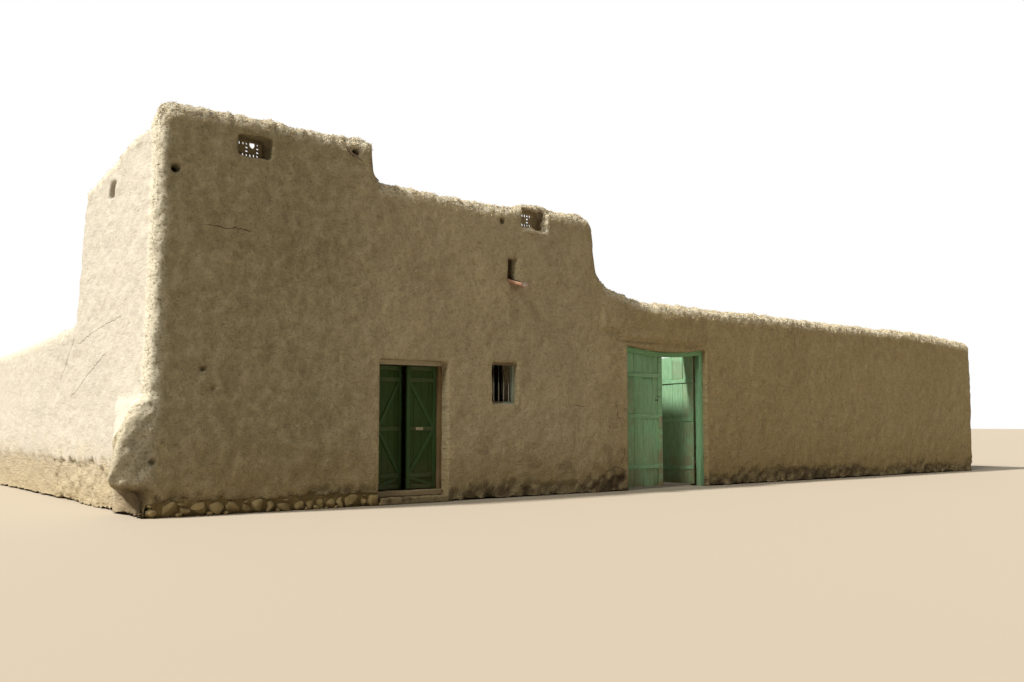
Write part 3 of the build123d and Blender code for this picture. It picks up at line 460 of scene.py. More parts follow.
def build_mud_group():
    """The shader group that every mud surface uses."""
    tree = bpy.data.node_groups.new("mud_and_straw", "ShaderNodeTree")
    add_sockets(tree, "INPUT", "Color", "Base", "Pale", "Dark")
    add_sockets(tree, "INPUT", "Float", "Lip", "Ridge", "Worn", "Stain_And_Shade")
    add_sockets(tree, "OUTPUT", "Color", "Color")
    add_sockets(tree, "OUTPUT", "Float", "Roughness", "Height")
    given = node(tree, "NodeGroupInput").outputs
    place_of = node(tree, "ShaderNodeTexCoord").outputs["Object"]
    east, north, height = node(tree, "ShaderNodeSeparateXYZ", {"Vector": place_of}).outputs
    at = node(tree, "ShaderNodeMapping", {"Vector": place_of, "Scale": (1, 0.4, 1)}).outputs[0]

    def stretched(scale, turn):
        return node(tree, "ShaderNodeMapping", {"Vector": at, "Scale": scale,
                                                "Rotation": [math.radians(a) for a in turn]}).outputs[0]

    blotch = noise(at, 0.55, 4, 0.6)
    cloud = noise(at, 3.2, 6, 0.65, 0.4)
    patchy = noise(at, 6.5, 3, 0.6, 0.3)
    mottle = noise(at, 11, 5, 0.7)
    pits = noise(at, 24, 3, 0.6)
    crumbs = noise(at, 26, 5, 0.85)
    grit = noise(at, 60, 4, 0.75)
    strokes = noise(stretched((8, 8, 26), (7, -9, 4)), 1, 3, 0.6, 0.8)
    nicks = curve(noise(stretched((13, 13, 46), (-4, 12, 0)), 1, 3, 0.65, 0.5), 0.60, 0.74)
    straw = maths("MAXIMUM", *[curve(noise(stretched((34, 34, 210), turn), 1, 2), 0.60, 0.70)
                               for turn in STRAW_TURNS])
    shade = total(times(curve(blotch, 0.35, 0.68), 0.4), times(curve(cloud, 0.3, 0.7), 0.35),
                  times(curve(mottle, 0.32, 0.68), 0.45))
    front = curve(north, FOOT.y + 0.30, FOOT.y + 0.14)
    tall = times(front, curve(total(east, cloud), FOOT.x + 4.4, FOOT.x + 3.0))
    yard = times(front, curve(total(east, cloud), FOOT.x + 7.6, FOOT.x + 9.6))
    sunny = times(curve(north, FOOT.y + 0.14, FOOT.y + 0.30), curve(east, FOOT.x + 0.40, FOOT.x + 0.20))
    hollow = curve(total(times(mottle, 0.6), times(pits, 0.4)), 0.52, 0.38)
    low = curve(total(height, times(cloud, 0.9)), 1.45, 0.45)
    edge = maths("MAXIMUM", given["Lip"], times(given["Ridge"], 0.8))

    colour = mix(shade, given["Base"], given["Dark"])
    for part, tint in (
            (times(tall, 0.45), TALL_TINT),
            (times(yard, 0.50), YARD_TINT),
            # painted sunlight: the side in the sun is painted paler and greyer
            (times(sunny, 0.60), SUNLIT_SIDE_PAINTED_PALENESS),
            (times(hollow, front, 0.42), HOLLOW_SHADE),
            # painted shade on the low patches of the relief, and painted light on its high ones
            (times(curve(patchy, 0.50, 0.34), front, curve(tall, 0.0, 1.0, 0.14, 0.26)), LOW_PATCH_PAINTED_SHADE),
            (times(curve(patchy, 0.50, 0.68), front, curve(tall, 0.0, 1.0, 0.08, 0.22)), HIGH_PATCH_PAINTED_LIGHT),
            (times(low, 0.6), FOOT_TINT),
            (times(curve(grit, 0.45, 0.75), 0.30), given["Dark"]),
            (times(nicks, 0.40), NICK_SHADE),
            (times(straw, 0.30), given["Pale"]),
            # pale straw lip, partly its own colour and partly painted sunlight, and painted sunlight on the corner
            # roll; below, painted shade in the low crumbs
            (times(edge, curve(crumbs, 0.36, 0.50), 0.95), given["Pale"]),
            (times(edge, curve(crumbs, 0.47, 0.38), 0.8), LIP_SHADE),
            # darker where the plaster is worn; in the undercut below the flare this is painted shade
            (times(given["Worn"], 0.55), given["Dark"]),
            # stains, with painted shade in the dents, the drain slot, the undercut and under the spout's root
            (given["Stain_And_Shade"], STAIN_AND_SHADE_COLOUR)):
        colour = mix(part, colour, tint)

    grooves = node(tree, "ShaderNodeTexWave", {"Vector": place_of, "Scale": 4.4, "Distortion": 2.0,
                                               "Detail": 2.0}, bands_direction="Y").outputs["Fac"]
    rough = total(times(patchy, 0.9), times(strokes, curve(sunny, 0.0, 1.0, 0.34, 0.08)), times(mottle, 0.50),
                  times(pits, 0.26), times(grit, 0.10), times(straw, 0.05), times(nicks, -0.14),
                  times(given["Worn"], times(pits, 0.9)),
                  times(times(grooves, given["Ridge"]), times(curve(height, 2.6, 3.4), 0.35)),
                  times(crumbs, times(edge, 1.6)))
    node(tree, "NodeGroupOutput", {"Color": colour, "Roughness": curve(cloud, 0.2, 0.8, 0.86, 0.98),
                                   "Height": times(rough, curve(sunny, 0.0, 1.0, 1.0, 0.40))})
    return tree


mud_group = build_mud_group()


def group_material(name, group_tree, values, marks, strength, depth):
    """A dull material made by a shader group, which reads the named marks from the surface."""
    material, tree, shader = plain_material(name)
    for mark in marks:
        values[mark] = node(tree, "ShaderNodeAttribute", attribute_name=mark.lower()).outputs["Fac"]
    group = node(tree, "ShaderNodeGroup", values, node_tree=group_tree)
    tree.links.new(group.outputs["Color"], shader.inputs["Base Color"])
    tree.links.new(group.outputs["Roughness"], shader.inputs["Roughness"])
    emboss(shader, group.outputs["Height"], depth, strength)
    shader.inputs["Specular IOR Level"].default_value = DULL_GLOSS
    return material


def mud_material(name, base, pale, dark, depth, marks=()):
    """A mud finish; the walls' own also reads their marks."""
    return group_material(name, mud_group, {"Base": base, "Pale": pale, "Dark": dark}, marks, 1.0, depth)


wall_mud = mud_material("wall_mud", MUD_BASE, MUD_PALE_AND_PAINTED_SUNLIGHT, MUD_DARK, 0.060, ("Lip", "Ridge", "Worn", "Stain_And_Shade"))


# The pieces of the mud walls
# Each is cut out of the same worn surface, so that they meet with no step between them.
def riding(name, mesh, body, hidden=()):
    """A piece made of a mesh, which rides on its body and stands for the hidden nodes."""
    obj = bpy.data.objects.new(name, mesh)
    bpy.context.scene.collection.objects.link(obj)
    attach(obj, body)
    if hidden:
        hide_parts(*hidden)
    return obj


def mud_piece(name, grain, planes, hidden):
    """One large piece of the mud walls, inside the planes."""
    planes = [(place(*co), Vector(normal)) for co, normal in planes]
    even = even_grain(joined_mud(planes), grain)
    points, normals = read(even)
    x, y, z = points.T
    over_foot = ramp(z, 1.75, 1.45) * ramp(z, 0.1, 0.3) * ramp(y, 1.45, 1.2)
    over_seams = (within(y, 0.40, 0.60, 0.15) * ramp(z, 5.0, 4.7)
                  + within(y, 3.30, 4.00, 0.35) * ramp(z, 2.85, 2.55))
    blend = np.clip(over_foot + over_seams, 0, 1) * ramp(x, 0.45, 0.25)
    if blend.max() > 0.01:
        soften = ("SMOOTH", {"factor": 0.5, "iterations": 40, "vertex_group": "where"})
        even = evaluated(even, [soften], blend)
        points, normals = read(even)
    marks = marks_of(points)
    moved = wear(points, normals, marks)
    moved[:, 2] = np.maximum(moved[:, 2], 0)
    write(even, moved)
    for mark, values in marks.items():
        even.attributes.new(mark, "FLOAT", "POINT").data.foreach_set("value", values.astype(np.float32))
    bm = bmesh.new()
    bm.from_mesh(even)
    for co, normal in planes:
        cut(bm, co, normal)
    for face in bm.faces:
        face.smooth = True
    for edge in bm.edges:
        if len(edge.link_faces) == 2 and max(len(face.verts) for face in edge.link_faces) > 6:
            edge.smooth = False
    bm.to_mesh(even)
    bm.free()
    even.materials.clear()
    even.materials.append(wall_mud)
    return riding(name, even, "building", hidden)


FRONT_SIDE = ((0, FRONT_DEPTH, 0), (0, 1, 0))
REAR_SIDE = ((0, FRONT_DEPTH, 0), (0, -1, 0))
mud_pieces = [
    mud_piece("tall_mud_front", FRONT_GRAIN, [FRONT_SIDE, ((DOOR_MIDDLE, 0, 0), (1, 0, 0))],
              ["tower_front_wall", "corner_foot", "wall_over_door", "door_step"]),
    mud_piece("middle_mud_front", FRONT_GRAIN,
              [FRONT_SIDE, ((DOOR_MIDDLE, 0, 0), (-1, 0, 0)), ((GATE_MIDDLE, 0, 0), (1, 0, 0))],
              ["middle_front_wall", "gate_side_wall", "wall_over_gate"]),
    mud_piece("yard_mud_front", FRONT_GRAIN, [FRONT_SIDE, ((GATE_MIDDLE, 0, 0), (-1, 0, 0))],
              ["yard_front_wall", "yard_front_wall_end"]),
    mud_piece("mud_left_side", FRONT_GRAIN,
              [REAR_SIDE, ((0, LEFT_DEPTH, 0), (0, 1, 0)), ((FRONT_DEPTH, 0, 0), (1, 0, 0))], ["left_wall"]),
    mud_piece("mud_house_rear", REAR_GRAIN,
              [REAR_SIDE, ((0, LEFT_DEPTH, 0), (0, 1, 0)), ((FRONT_DEPTH, 0, 0), (-1, 0, 0))],
              ["back_wall", "right_wall", "flat_roof", "earth_floor"]),
    mud_piece("mud_yard_rear", REAR_GRAIN, [((0, LEFT_DEPTH, 0), (0, -1, 0))],
              ["yard_left_wall", "yard_back_wall", "yard_right_wall"]),
]


# Cracks
# Thin cracks in the plaster, laid on the worn surface as dark wedges of painted shade: beside the gate and high on
# the tall part.
# On the side wall they are scratches, which slope the same way.
CRACK_SHADOW_COLOUR = (0.055, 0.038, 0.020, 1)
FRONT_CRACKS = {
    "tall_mud_front": (((0.69, 3.79), (0.95, 3.77), (1.15, 3.78), (1.42, 3.76)),),
    "middle_mud_front": (
        ((7.63, 0.14), (7.86, 0.36), (8.09, 0.42), (8.30, 0.37), (8.34, 0.14)),
        ((8.20, 0.45), (8.30, 0.60), (8.33, 0.80)),
        ((8.08, 1.55), (8.16, 1.42), (8.14, 1.30), (8.26, 1.18)),
        ((7.14, 1.50), (7.28, 1.46), (7.40, 1.48)),
    ),
}
SIDE_CRACKS = (
    ((1.88, 2.17), (2.35, 2.02), (2.90, 1.84), (3.55, 1.57)),
    ((1.26, 2.65), (2.30, 2.55), (3.35, 2.38)),
    ((3.40, 2.50), (3.75, 2.18), (4.20, 1.85)),
)
CRACK_STEP, CRACK_WAVER = 0.035, 0.012
CRACK_PROUD, CRACK_DEEP = 0.0015, 0.006
FRONT_CRACK_HALF, SCRATCH_HALF = 0.005, 0.003
crack_shadow_paint = plain_material("painted_crack_shadow", 1.0, CRACK_SHADOW_COLOUR)[0]


def skin(bm, rings):
    """A closed skin over rings of corners, with a face at each end."""
    for first, second in zip(rings, rings[1:]):
        for i in range(len(first)):
            j = (i + 1) % len(first)
            bm.faces.new((first[i], first[j], second[j], second[i]))
    bm.faces.new(rings[0])
    bm.faces.new(list(reversed(rings[-1])))


def crack(bm, piece, line, out, half_width, dice):
    """A thin wavering wedge of shadow along a line, sunk in the surface of a mud piece."""
    stops = []
    for (a0, z0), (a1, z1) in zip(line, line[1:]):
        count = max(2, int(math.hypot(a1 - a0, z1 - z0) / CRACK_STEP))
        stops += [(a0 + (a1 - a0) * i / count, z0 + (z1 - z0) * i / count) for i in range(count)]
    rings, last = [], None
    for index, (along, z) in enumerate(stops):
        z += dice.uniform(-CRACK_WAVER, CRACK_WAVER)
        start = place(along, 0, z) if out.y else place(0, along, z)
        hit, at, normal, _ = piece.ray_cast(start + out, -out)
        if not hit:
            continue
        across = (at - last).cross(normal).normalized() if rings else Vector((0, 0, 1))
        taper = min(1, 0.3 + index / 3, 0.3 + (len(stops) - 1 - index) / 3)
        wide = half_width * dice.uniform(0.5, 1.3) * taper
        above, below = at + normal * CRACK_PROUD, at - normal * CRACK_DEEP
        aside = across * wide
        rings.append([above + aside, above - aside, below - aside, below + aside])
        last = at
    skin(bm, [[bm.verts.new(co) for co in ring] for ring in rings])


def mesh_of(name, bm, material):
    """A mesh made of a bmesh, with its faces outwards."""
    bmesh.ops.recalc_face_normals(bm, faces=bm.faces)
    mesh = bpy.data.meshes.new(name)
    bm.to_mesh(mesh)
    bm.free()
    mesh.materials.append(material)
    return mesh


def cracks(name, piece, lines, out, half_width, seed):
    """All the cracks of one mud piece."""
    bm = bmesh.new()
    dice = random.Random(seed)
    for line in lines:
        crack(bm, piece, line, Vector(out), half_width, dice)
    riding(name, mesh_of(name, bm, crack_shadow_paint), "building")


pieces_by_name = {piece.name: piece for piece in mud_pieces}
for name, lines in FRONT_CRACKS.items():
    cracks("cracks_in_" + name, pieces_by_name[name], lines, (0, -1, 0), FRONT_CRACK_HALF, name)
cracks("scratches_on_side", pieces_by_name["mud_left_side"], SIDE_CRACKS, (-1, 0, 0), SCRATCH_HALF, "side")


# Straw along the tops
# Chopped straw that sticks out of the mud where rain has washed the rounded tops of the walls.
STRAW_DENSITY, STRAW_LENGTH, STRAW_THICKNESS = 900, 0.07, 0.0028


def speckled(name, scale, detail, colours, roughness, depth=0.0, metallic=0.0):
    """A finish of two colours, mottled all over."""
    material, tree, shader = plain_material(name, roughness)
    at = node(tree, "ShaderNodeTexCoord").outputs["Object"]
    specks = noise(at, scale, detail)
    tree.links.new(mix(specks, *colours), shader.inputs["Base Color"])
    if depth:
        emboss(shader, specks, depth)
    shader.inputs["Metallic"].default_value = metallic
    return material


straw_colour = speckled("bleached_straw", 9.0, 3.0, ((0.66, 0.55, 0.34, 1), (0.46, 0.36, 0.20, 1)), 0.75)


def build_straw_tree():
    """Scatters three-sided straws over a surface, where its lip mark is strong."""
    tree = bpy.data.node_groups.new("scatter_straw", "GeometryNodeTree")
    add_sockets(tree, "INPUT", "Geometry", "Geometry")
    add_sockets(tree, "INPUT", "Float", "Density", "Length", "Thickness")
    add_sockets(tree, "INPUT", "Int", "Seed")
    add_sockets(tree, "INPUT", "Material", "Material")
    add_sockets(tree, "OUTPUT", "Geometry", "Geometry")
    given = node(tree, "NodeGroupInput").outputs
    lip = node(tree, "GeometryNodeInputNamedAttribute", {"Name": "lip"},
               data_type="FLOAT").outputs["Attribute"]
    density = times(lip, given["Density"])
    points = node(tree, "GeometryNodeDistributePointsOnFaces", {"Mesh": given["Geometry"], "Density": density,
                                                                "Seed": given["Seed"]})
    straw = node(tree, "GeometryNodeMeshCylinder", {"Vertices": 3, "Radius": given["Thickness"],
                                                    "Depth": given["Length"]})
    tilt = node(tree, "FunctionNodeRandomValue", {"Min": (0.9, -0.4, 0), "Max": (1.75, 0.4, 6.28), "Seed": 5},
                data_type="FLOAT_VECTOR").outputs["Value"]
    turn = node(tree, "FunctionNodeRotateRotation", {"Rotation": points.outputs["Rotation"],
                                                     "Rotate By": tilt}, rotation_space="LOCAL").outputs[0]
    size = node(tree, "FunctionNodeRandomValue", {2: 0.45, 3: 1.25, "Seed": 9}).outputs[1]
    placed = node(tree, "GeometryNodeInstanceOnPoints", {"Points": points.outputs["Points"],
                                                         "Instance": straw.outputs["Mesh"],
                                                         "Rotation": turn, "Scale": size})
    real = node(tree, "GeometryNodeRealizeInstances", {"Geometry": placed.outputs[0]})
    painted = node(tree, "GeometryNodeSetMaterial", {"Geometry": real.outputs[0],
                                                     "Material": given["Material"]})
    node(tree, "NodeGroupOutput", {"Geometry": painted.outputs[0]})
    return tree


straw_scatter = build_straw_tree()


def baked(obj, tree, inputs):
    """The plain mesh that a Geometry Nodes tree makes of an object."""
    modifier = obj.modifiers.new("nodes", "NODES")
    modifier.node_group = tree
    for item in tree.interface.items_tree:
        if item.in_out == "INPUT" and item.name in inputs:
            modifier[item.identifier] = inputs[item.name]
    obj.update_tag()
    depsgraph = bpy.context.evaluated_depsgraph_get()
    mesh = bpy.data.meshes.new_from_object(obj.evaluated_get(depsgraph))
    obj.modifiers.remove(modifier)
    return mesh


for index, piece in enumerate(mud_pieces[:4]):
    straw_mesh = baked(piece, straw_scatter, {"Density": STRAW_DENSITY, "Length": STRAW_LENGTH,
                                              "Thickness": STRAW_THICKNESS, "Seed": index,
                                              "Material": straw_colour})
    riding("coping_straw_" + piece.name, straw_mesh, "building")


# Footing stones
# One course of undressed stones in the foot of the tall wall, bedded in dark mud that rain has washed back.
STONE_LENGTHS = (0.11, 0.27)
STONE_HEIGHTS = (0.12, 0.235)
STONE_SQUARENESS, STONE_CUTS = 0.48, 9
STONE_THICKNESS = 0.30
LOW_STONE, COURSE_TOP = 0.15, 0.205
CHIP_SHARE = 0.4
STONE_COLOURS = ((0.265, 0.215, 0.130, 1), (0.42, 0.35, 0.23, 1), (0.14, 0.105, 0.058, 1))
BED_COLOURS = ((0.100, 0.073, 0.038, 1), (0.25, 0.20, 0.12, 1), (0.050, 0.035, 0.018, 1))
BED_SET_BACK, BED_DEPTH, BED_TOP, BED_END = 0.080, 0.15, 0.24, 0.03
BED_STEPS = 160


def finished(name, bm, material, body, hidden=(), smooth_angle=40):
    """A new piece from a bmesh, smooth but for its sharp edges, riding on its body."""
    for face in bm.faces:
        face.smooth = True
    mesh = mesh_of(name, bm, material)
    mesh.set_sharp_from_angle(angle=math.radians(smooth_angle))
    return riding(name, mesh, body, hidden)


def stone(bm, centre, size, seed):
    """A rough stone that fills its size, with flattened sides."""
    made = bmesh.ops.create_icosphere(bm, subdivisions=3, radius=1.0)["verts"]
    unit = np.array([vert.co for vert in made])
    boxy = np.sign(unit) * np.abs(unit) ** STONE_SQUARENESS
    boxy *= (0.98 + 0.13 * lumps(unit, 0.9, seed) + 0.05 * lumps(unit, 0.3, seed + 3))[:, None]
    flat = random.Random(seed)
    for _ in range(STONE_CUTS):
        way = np.array([flat.uniform(-1, 1), flat.uniform(-1, 0.2), flat.uniform(-1, 1)])
        way /= np.linalg.norm(way)
        over = np.clip(boxy @ way - flat.uniform(0.68, 0.98), 0, None)
        boxy -= over[:, None] * way
    for vert, co in zip(made, boxy * np.array(size) / 2 + np.array(centre)):
        vert.co = co
        vert.co.z = max(vert.co.z, 0)


footing_low, footing_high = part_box("stone_footing")
stone_dice = random.Random(4)
stones = bmesh.new()
stone_x = footing_low.x - 0.02
while stone_x < footing_high.x - 0.08:
    length = stone_dice.uniform(*STONE_LENGTHS)
    tall = min(stone_dice.uniform(*STONE_HEIGHTS), 0.75 * length + 0.05)
    front = footing_low.y + stone_dice.uniform(-0.030, 0.010)
    middle = stone_x + length / 2
    stone(stones, (middle, front + 0.15, tall / 2 - 0.012), (length * 1.03, STONE_THICKNESS, tall),
          int(stone_x * 90))
    if tall < LOW_STONE:
        upper = COURSE_TOP - tall
        stone(stones, (middle + stone_dice.uniform(-0.03, 0.03), front + 0.17, tall + upper / 2 - 0.02),
              (length * stone_dice.uniform(0.55, 0.95), 0.26, upper), int(stone_x * 50))
    if stone_dice.random() < CHIP_SHARE:
        chip = stone_dice.uniform(0.04, 0.08)
        stone(stones, (stone_x + length, front + 0.04, chip / 2 - 0.01), (chip * 1.3, 0.10, chip),
              int(stone_x * 70))
    stone_x += length
stone_mud = mud_material("footing_stone_finish", *STONE_COLOURS, 0.012)
finished("footing_stones", stones, stone_mud, "building", ["stone_footing"], 50)

bed = bmesh.new()
bed_front = footing_low.y + BED_SET_BACK
bed_length = footing_high.x - footing_low.x - 2 * BED_END
rings = []
for i in range(BED_STEPS + 1):
    bed_x = footing_low.x + BED_END + bed_length * i / BED_STEPS
    ring = [(bed_front + BED_DEPTH, 0.0)]
    ring += [(bed_front + stone_dice.uniform(-0.008, 0.008), BED_TOP * k / 5) for k in range(6)]
    ring.append((bed_front + BED_DEPTH, BED_TOP))
    rings.append([bed.verts.new((bed_x, bed_y, bed_z)) for bed_y, bed_z in ring])
skin(bed, rings)
bed_mud = mud_material("washed_bed_mud", *BED_COLOURS, 0.020)
finished("mud_between_stones", bed, bed_mud, "building", ["stone_footing"], 180)


# Pierced lattices
# Grilles of clay cast with round holes and slots, one with a piece broken out of it.
LATTICE_GRAIN = 0.007
THIN_LATTICE = 0.45
LATTICE_COLOURS = ((0.40, 0.335, 0.20, 1), (0.60, 0.52, 0.36, 1), (0.27, 0.21, 0.12, 1))
LATTICE_LAYERS = ((0.0025, 0.05, 21), (0.001, 0.015, 22))
BREAK_RIGHT, BREAK_UP, BREAK_REACH = 0.1025, 0.105, 0.2
BREAK_SHAPE = ((-0.045, 0.036), (0.045, 0.036), (0.044, 0.0), (0.026, -0.030), (0.0, -0.044),
               (-0.024, -0.030), (-0.043, 0.002))
lattice_clay = mud_material("lattice_clay", *LATTICE_COLOURS, 0.004)


def broken_out(mesh, centre, reach):
    """The lattice with a shield-shaped hole broken through it."""
    cutter = bmesh.new()
    near = [cutter.verts.new((centre.x + x, centre.y - reach, centre.z + z)) for x, z in BREAK_SHAPE]
    face = cutter.faces.new(near)
    moved = bmesh.ops.extrude_face_region(cutter, geom=[face])["geom"]
    for item in moved:
        if isinstance(item, bmesh.types.BMVert):
            item.co.y += 2 * reach
    bmesh.ops.recalc_face_normals(cutter, faces=cutter.faces)
    cutter_mesh = bpy.data.meshes.new("cutter")
    cutter.to_mesh(cutter_mesh)
    cutter.free()
    tool = bpy.data.objects.new("cutter", cutter_mesh)
    bpy.context.scene.collection.objects.link(tool)
    result = evaluated(mesh, [("BOOLEAN", {"object": tool, "operation": "DIFFERENCE", "solver": "EXACT"})])
    bpy.data.objects.remove(tool)
    return result


for name in ("front_lattice", "middle_lattice", "side_lattice"):
    low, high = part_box(name)
    bm = bmesh.new()
    bm.from_mesh(frame["nodes"][name].data)
    bmesh.ops.remove_doubles(bm, verts=bm.verts, dist=1e-5)
    if name == "middle_lattice":
        for vert in bm.verts:
            vert.co.y = low.y + (vert.co.y - low.y) * THIN_LATTICE
    clay = bpy.data.meshes.new(name)
    bm.to_mesh(clay)
    bm.free()
    if name == "front_lattice":
        middle = (low + high) / 2
        clay = broken_out(clay, middle + Vector((BREAK_RIGHT, 0, BREAK_UP)), BREAK_REACH)
    clay = even_grain(clay, LATTICE_GRAIN)
    points, normals = read(clay)
    write(clay, points + normals * relief(points, LATTICE_LAYERS)[:, None])
    bm = bmesh.new()
    bm.from_mesh(clay)
    finished("pierced_" + name, bm, lattice_clay, "building", [name], 70)


# Timber
# Hand-sawn boards with softened edges; the shared finish has grain along them, worn paint and dust.
BLACK = (0, 0, 0, 1)


def build_wood_group():
    """The shader group that every timber surface uses."""
    tree = bpy.data.node_groups.new("weathered_wood", "ShaderNodeTree")
    add_sockets(tree, "INPUT", "Color", "Paint", "Bare", "Dust")
    add_sockets(tree, "INPUT", "Vector", "Stretch")
    add_sockets(tree, "INPUT", "Float", "Wear", "Bared", "Dust Top")
    add_sockets(tree, "OUTPUT", "Color", "Color")
    add_sockets(tree, "OUTPUT", "Float", "Roughness", "Height")
    given = node(tree, "NodeGroupInput").outputs
    at = node(tree, "ShaderNodeTexCoord").outputs["Object"]
    height = node(tree, "ShaderNodeSeparateXYZ", {"Vector": at}).outputs["Z"]
    along = node(tree, "ShaderNodeMapping", {"Vector": at, "Scale": given["Stretch"]}).outputs[0]
    grain = noise(along, 1.0, 6.0, 0.7)
    patches = noise(at, 4.5, 8.0, 0.7)
    wide = noise(at, 1.3, 3.0)
    rubbed = total(times(patches, 0.6), times(grain, 0.4), times(maths("SUBTRACT", wide, 0.5), 0.5))
    bare = curve(total(rubbed, times(given["Wear"], 0.5)), 0.72, 0.86)
    bare = maths("MAXIMUM", bare, times(given["Bared"], curve(patches, 0.34, 0.55)))
    dusty = times(curve(maths("SUBTRACT", given["Dust Top"], height), 0.0, 1.0), curve(patches, 0.25, 0.75))
    colour = mix(curve(grain, 0.35, 0.75), given["Paint"], mix(0.5, given["Paint"], BLACK))
    faded = node(tree, "ShaderNodeVectorMath", {0: colour, "Scale": 1.30}, operation="SCALE").outputs[0]
    colour = mix(curve(wide, 0.35, 0.8), colour, faded)
    colour = mix(bare, colour, mix(curve(grain, 0.3, 0.7), given["Bare"], mix(0.5, given["Bare"], BLACK)))
    colour = mix(dusty, colour, given["Dust"])
    lifted = maths("SUBTRACT", times(grain, 0.8), times(bare, 0.25))
    node(tree, "NodeGroupOutput", {"Color": colour, "Roughness": total(0.62, times(bare, 0.25)),
                                   "Height": lifted})
    return tree


wood_group = build_wood_group()
ALONG_X, ALONG_Y, ALONG_Z = (4, 55, 55), (55, 4, 55), (55, 55, 4)


def wood_material(name, paint, bare, dust, stretch, wear, dust_top):
    """A timber finish with its grain along one direction, worn by that much and dusty up to a height."""
    values = {"Paint": paint, "Bare": bare, "Dust": dust, "Stretch": stretch, "Wear": wear,
              "Dust Top": dust_top}
    return group_material(name, wood_group, values, ["Bared"], 0.8, 0.003)


def plank(bm, start, end, half_width, half_thickness, edge=0.003, dice=None, steps=6, bared=0.0):
    """A board from start to end, with softened edges and a slight waver."""
    start, end, wide, thick = Vector(start), Vector(end), Vector(half_width), Vector(half_thickness)
    soft_wide, soft_thick = wide.normalized() * edge, thick.normalized() * edge
    outline = [wide - soft_wide + thick, wide + thick - soft_thick,
               wide - thick + soft_thick, wide - soft_wide - thick]
    outline += [-corner for corner in outline]
    layer = bm.verts.layers.float.get("bared") or bm.verts.layers.float.new("bared")
    soft_end = edge / (end - start).length
    stops = [0, soft_end] + [i / steps for i in range(1, steps)] + [1 - soft_end, 1]
    rings = []
    for index, part in enumerate(stops):
        at_end = index in (0, len(stops) - 1)
        shift = Vector((0, 0, 0))
        if dice and not at_end:
            shift = soft_wide * dice.uniform(-0.5, 0.5) + soft_thick * dice.uniform(-0.4, 0.4)
        ring = []
        for corner in outline:
            inset = Vector()
            if at_end:
                inset = ((soft_wide if corner.dot(wide) > 0 else -soft_wide)
                         + (soft_thick if corner.dot(thick) > 0 else -soft_thick)) * 0.6
            vert = bm.verts.new(start.lerp(end, part) + corner + shift - inset)
            vert[layer] = bared
            ring.append(vert)
        rings.append(ring)
    skin(bm, rings)


def rod(bm, points, radii, sides=10):
    """A round bar through the points, closed at both ends."""
    points = [Vector(point) for point in points]
    rings = []
    for index, point in enumerate(points):
        before, after = points[max(index - 1, 0)], points[min(index + 1, len(points) - 1)]
        turn = (after - before).to_track_quat("Z", "X")
        rings.append([bm.verts.new(point + turn @ (Vector((math.cos(a), math.sin(a), 0)) * radii[index]))
                      for a in [2 * math.pi * i / sides for i in range(sides)]])
    skin(bm, rings)


# Iron
# Dull black forged iron with a little rust, for hinges, hasps and staples.
iron_finish = speckled("forged_iron", 45.0, 5.0, ((0.035, 0.030, 0.027, 1), (0.16, 0.085, 0.045, 1)), 0.7,
                       depth=0.001, metallic=0.6)
for name in ("door_pintles", "gate_pintles"):
    frame["nodes"][name].data.materials.clear()
    frame["nodes"][name].data.materials.append(iron_finish)


# Leaves
# Boards nailed to rails behind or before them, hung on two eyes that turn on the pintles.
# A leaf is made closed, with its hinge at x = 0 and its face at minus y, and then put in its place.
LEAF_START = 0.003
LEAF_GAPS = 0.020
HINGE_OUT = 0.020
STRAP_FROM, STRAP_TO, STRAP_BACK = 0.010, 0.260, -0.016
STRAP_NAILS = (0.06, 0.13, 0.20, 0.245)
EYE_RADII, EYE_HALF_HEIGHT = (0.0130, 0.0084), 0.030


def joint(name):
    """A joint of the frame, by its name."""
    return next(item for item in frame["joints"] if item["name"] == name)


def leaf_place(joint_name, turned, mirrored):
    """From a closed leaf's own frame, with its hinge at x = 0, to the house."""
    place_of = Matrix.Translation(joint(joint_name)["pos_m"])
    if mirrored:
        return place_of @ Matrix.Rotation(math.radians(-turned), 4, "Z") @ Matrix.Scale(-1, 4, (1, 0, 0))
    return place_of @ Matrix.Rotation(math.radians(turned), 4, "Z")


def leaf_width(left_joint, right_joint):
    """The width of each of two leaves that meet between their hinges."""
    span = joint(right_joint)["pos_m"][0] - joint(left_joint)["pos_m"][0]
    return (span - LEAF_GAPS) / 2


def upright(bm, x0, x1, z0, z1, back, front, dice, **more):
    """A vertical board of a leaf, from its back to its front face."""
    middle = (x0 + x1) / 2
    depth = (back + front) / 2
    plank(bm, (middle, depth, z0), (middle, depth, z1), ((x1 - x0) / 2, 0, 0), (0, (back - front) / 2, 0),
          dice=dice, **more)


def rail(bm, x0, x1, z0, z1, height, back, front, dice, **more):
    """A rail across a leaf, from z0 at x0 to z1 at x1."""
    depth = (back + front) / 2
    plank(bm, (x0, depth, z0), (x1, depth, z1), (0, 0, height / 2), (0, (back - front) / 2, 0),
          dice=dice, **more)


